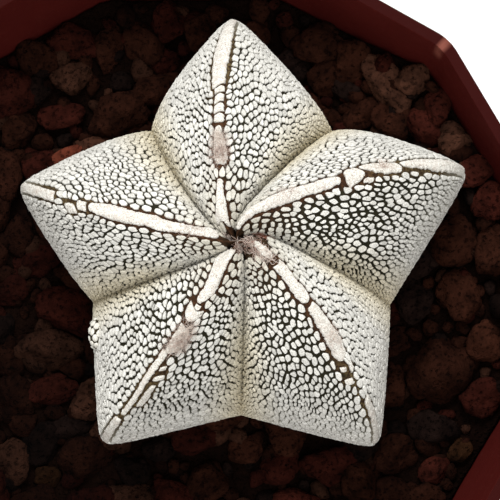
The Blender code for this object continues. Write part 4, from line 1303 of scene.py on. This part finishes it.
# %% Stones
FILL_COLOURS = (BROWN, BROWN, BROWN, RED, GREY, TAN)
STONE_TILT, CHIP_TILT = 0.35, 0.5  # most, in radians
STONE_TONES, CHIP_TONES = (0.7, 1.3), (0.45, 0.9)
STONE_SEED, CHIP_SEED = 5, 6
STONES_A_PIECE = 36
CHIP_TRIES = 5200
CHIP_ACROSS, CHIP_STRETCH, CHIP_FLATNESS = (1.3, 3.2), (1.0, 1.4), 0.8
CHIP_LIFT = 0.15  # of its middle over the grit, against its width
CHIP_OVERLAP, CHIP_TO_PLANT = 0.42, -1.0  # as for the stones, but from the plant in mm


def turned_lump(points, draw):
    """A lump the other way round along some axes, for variety."""
    order = draw.permutation(3)
    return points[:, order] * draw.choice((-1, 1), 3)


def place_lump(points, place, half, turn, tilt):
    """Size, tilt and turn a lump, and put it down; millimetres in, metres out."""
    turned = Matrix.Rotation(turn, 3, "Z") @ Matrix.Rotation(tilt, 3, "X")
    return (points * half @ np.array(turned).T + place) * MM


def stone_shapes():
    """Points, faces and colour of every stone."""
    draw = np.random.default_rng(STONE_SEED)
    shapes = []
    for x, y, length, width, turn, colour in stones:
        points, faces = fine_lumps[draw.integers(LUMP_KINDS)]
        half = np.array((length, width, width * STONE_FLATNESS)) * STONE_SPREAD / 2
        z = grit_height(x, y) + STONE_LIFT * width
        points = turned_lump(points, draw)
        tilt = draw.uniform(-STONE_TILT, STONE_TILT)
        if colour is None:
            colour = FILL_COLOURS[draw.integers(len(FILL_COLOURS))]
        # the stone's colour is darkened by painted shade away from the heap
        tone = np.array(colour) * draw.uniform(*STONE_TONES) * painted_lightness(x, y)
        shapes.append((place_lump(points, (x, y, z), half, turn, tilt), faces, tone))
    return shapes


def chip_shapes():
    """Small chips strewn over the grit, clear of the plant and of each other."""
    draw = np.random.default_rng(CHIP_SEED)
    reach = wall_reach(GRAVEL_LEVEL)
    taken = []
    shapes = []
    for _ in range(CHIP_TRIES):
        x, y = draw.uniform(-reach, reach, 2)
        width = draw.uniform(*CHIP_ACROSS)
        turn, tilt = draw.uniform(0, 2 * math.pi), draw.uniform(-CHIP_TILT, CHIP_TILT)
        if (x, y) != held_inside(x, y, width / 2):
            continue
        if from_plant(x, y) < body_reach(x, y) + CHIP_TO_PLANT:
            continue
        if any(math.hypot(x - a, y - b) < CHIP_OVERLAP * (width + w) for a, b, w in taken):
            continue
        taken.append((x, y, width))
        points, faces = small_lumps[draw.integers(LUMP_KINDS)]
        half = np.array((draw.uniform(*CHIP_STRETCH), 1, CHIP_FLATNESS)) * width / 2
        z = grit_height(x, y) + CHIP_LIFT * width
        colour = FILL_COLOURS[draw.integers(len(FILL_COLOURS))]
        # the chip's colour is darkened by painted shade away from the heap
        tone = np.array(colour) * draw.uniform(*CHIP_TONES) * painted_lightness(x, y)
        points = turned_lump(points, draw)
        shapes.append((place_lump(points, (x, y, z), half, turn, tilt), faces, tone))
    return shapes


def stone_piece(name, shapes):
    """One piece of many stones, with their colours painted on."""
    thing = join_shapes(name, [shape[:2] for shape in shapes])
    layer = thing.data.attributes.new("tone", "FLOAT_COLOR", "POINT")
    colours = [np.tile((*tone, 1.0), (len(points), 1)) for points, _, tone in shapes]
    layer.data.foreach_set("color", np.concatenate(colours).ravel())
    face_outwards(thing)
    declare(thing, stone_finish, "lava_stone")


stone_finish = Finish("lava_stone", 0.95, 0.03)
own_colour = stone_finish.node("Attribute", {"attribute_name": "tone"}).outputs["Color"]
mottle = stone_finish.fit(stone_finish.noise(2.2 * MM, 6, 0.7), 0.32, 0.68, 0.35, 1.65)
pits = stone_finish.noise(0.55 * MM, 2)
spotted = stone_finish.mix(1.0, own_colour, mottle, "MULTIPLY")
# the pits are painted darker, as painted shade inside them
pit_shade = stone_finish.fit(pits, 0.28, 0.42, 0.5, 1.0)
stone_finish.colour(stone_finish.mix(1.0, spotted, pit_shade, "MULTIPLY"))
stone_finish.bump(stone_finish.fit(pits, 0.28, 0.44), 0.20 * MM)
stone_finish.bump(stone_finish.noise(1.0 * MM, 5, 0.7), 0.45 * MM)

all_stones = stone_shapes()
for first in range(0, len(all_stones), STONES_A_PIECE):
    number = first // STONES_A_PIECE + 1
    stone_piece(f"lava_stones_{number}", all_stones[first:first + STONES_A_PIECE])
stone_piece("lava_chips", chip_shapes())

# %% [markdown]
# The pot is kept from the CAD model. Its reddish-brown plastic is thin, dull and a little dusty.
# The top of the rim is painted dark as painted shade, and the corners below it carry a pale
# painted highlight. The corners are found from the bearing of each point, and a small bevel softens
# all edges.

# %% Pot finish
DYES = (0.052, 0.0060, 0.0050), (0.070, 0.0088, 0.0070)
# Dust, then painted shade for the top of the rim, then a pale painted highlight for its corners.
DUST, RIM_TOP_SHADE, CORNER_HIGHLIGHT = (0.11, 0.038, 0.028), (0.026, 0.0028, 0.0022), (0.36, 0.12, 0.085)
RIM_ZONE = (POT_HEIGHT - 4) * MM, (POT_HEIGHT - 1) * MM  # from here up to here the painted highlight and the painted shade grow
HIGHLIGHT_ENDS = (0.008, 0.035)  # how far from a corner the painted highlight ends, in parts of a side
SOFT_EDGE, SAME_POINT = 0.18 * MM, 0.01 * MM
pot_finish = Finish("pot_plastic", 0.55, 0.03)
dye = pot_finish.mix(pot_finish.noise(6 * MM, 3), *DYES)
dustiness = pot_finish.fit(pot_finish.noise(1.1 * MM, 5, 0.7), 0.58, 0.78, 0, 0.25)
dusty = pot_finish.mix(dustiness, dye, DUST)
place_in = pot_finish.node("SeparateXYZ", Vector=pot_finish.place).outputs
# A pale painted highlight runs along the corners near the rim, stronger in patches.
bearing = pot_finish.maths("ARCTAN2", place_in["Y"], place_in["X"])
sides_round = pot_finish.maths("MULTIPLY", bearing, POT_SIDES / (2 * math.pi))
off_corner = pot_finish.maths("PINGPONG", pot_finish.maths("ADD", sides_round, 0.5), 0.5)
corner = pot_finish.fit(off_corner, *HIGHLIGHT_ENDS, 1, 0)
near_rim = pot_finish.fit(place_in["Z"], *RIM_ZONE)
highlight_strength = pot_finish.fit(pot_finish.noise(7 * MM, 3), 0.40, 0.60, 0.15, 0.7)
highlighted_corners = pot_finish.maths("MULTIPLY", pot_finish.maths("MULTIPLY", corner, near_rim), highlight_strength)
# The faces near the rim that look up are painted dark, as painted shade.
faces_up = pot_finish.node("SeparateXYZ", Vector=pot_finish.node("NewGeometry").outputs["Normal"])
shaded_rim_top = pot_finish.maths("MULTIPLY", pot_finish.fit(faces_up.outputs["Z"], 0.5, 0.9), near_rim)
pot_finish.colour(pot_finish.mix(highlighted_corners, pot_finish.mix(shaded_rim_top, dusty, RIM_TOP_SHADE), CORNER_HIGHLIGHT))
pot_finish.rough(pot_finish.fit(pot_finish.noise(1.4 * MM, 4), 0.3, 0.7, 0.45, 0.65))
pot_finish.bump(pot_finish.noise(0.5 * MM, 3), 0.02 * MM)
pot = bpy.data.objects["pot"]
pot_finish.put_on(pot)
weld = pot.modifiers.new("weld", "WELD")
weld.merge_threshold = SAME_POINT
bevel = pot.modifiers.new("soft edges", "BEVEL")
bevel.width = SOFT_EDGE
bevel.segments = 2
bevel.limit_method = "ANGLE"
bevel.angle_limit = SHARP_EDGE
print("pot:", len(pot.data.polygons), "faces")
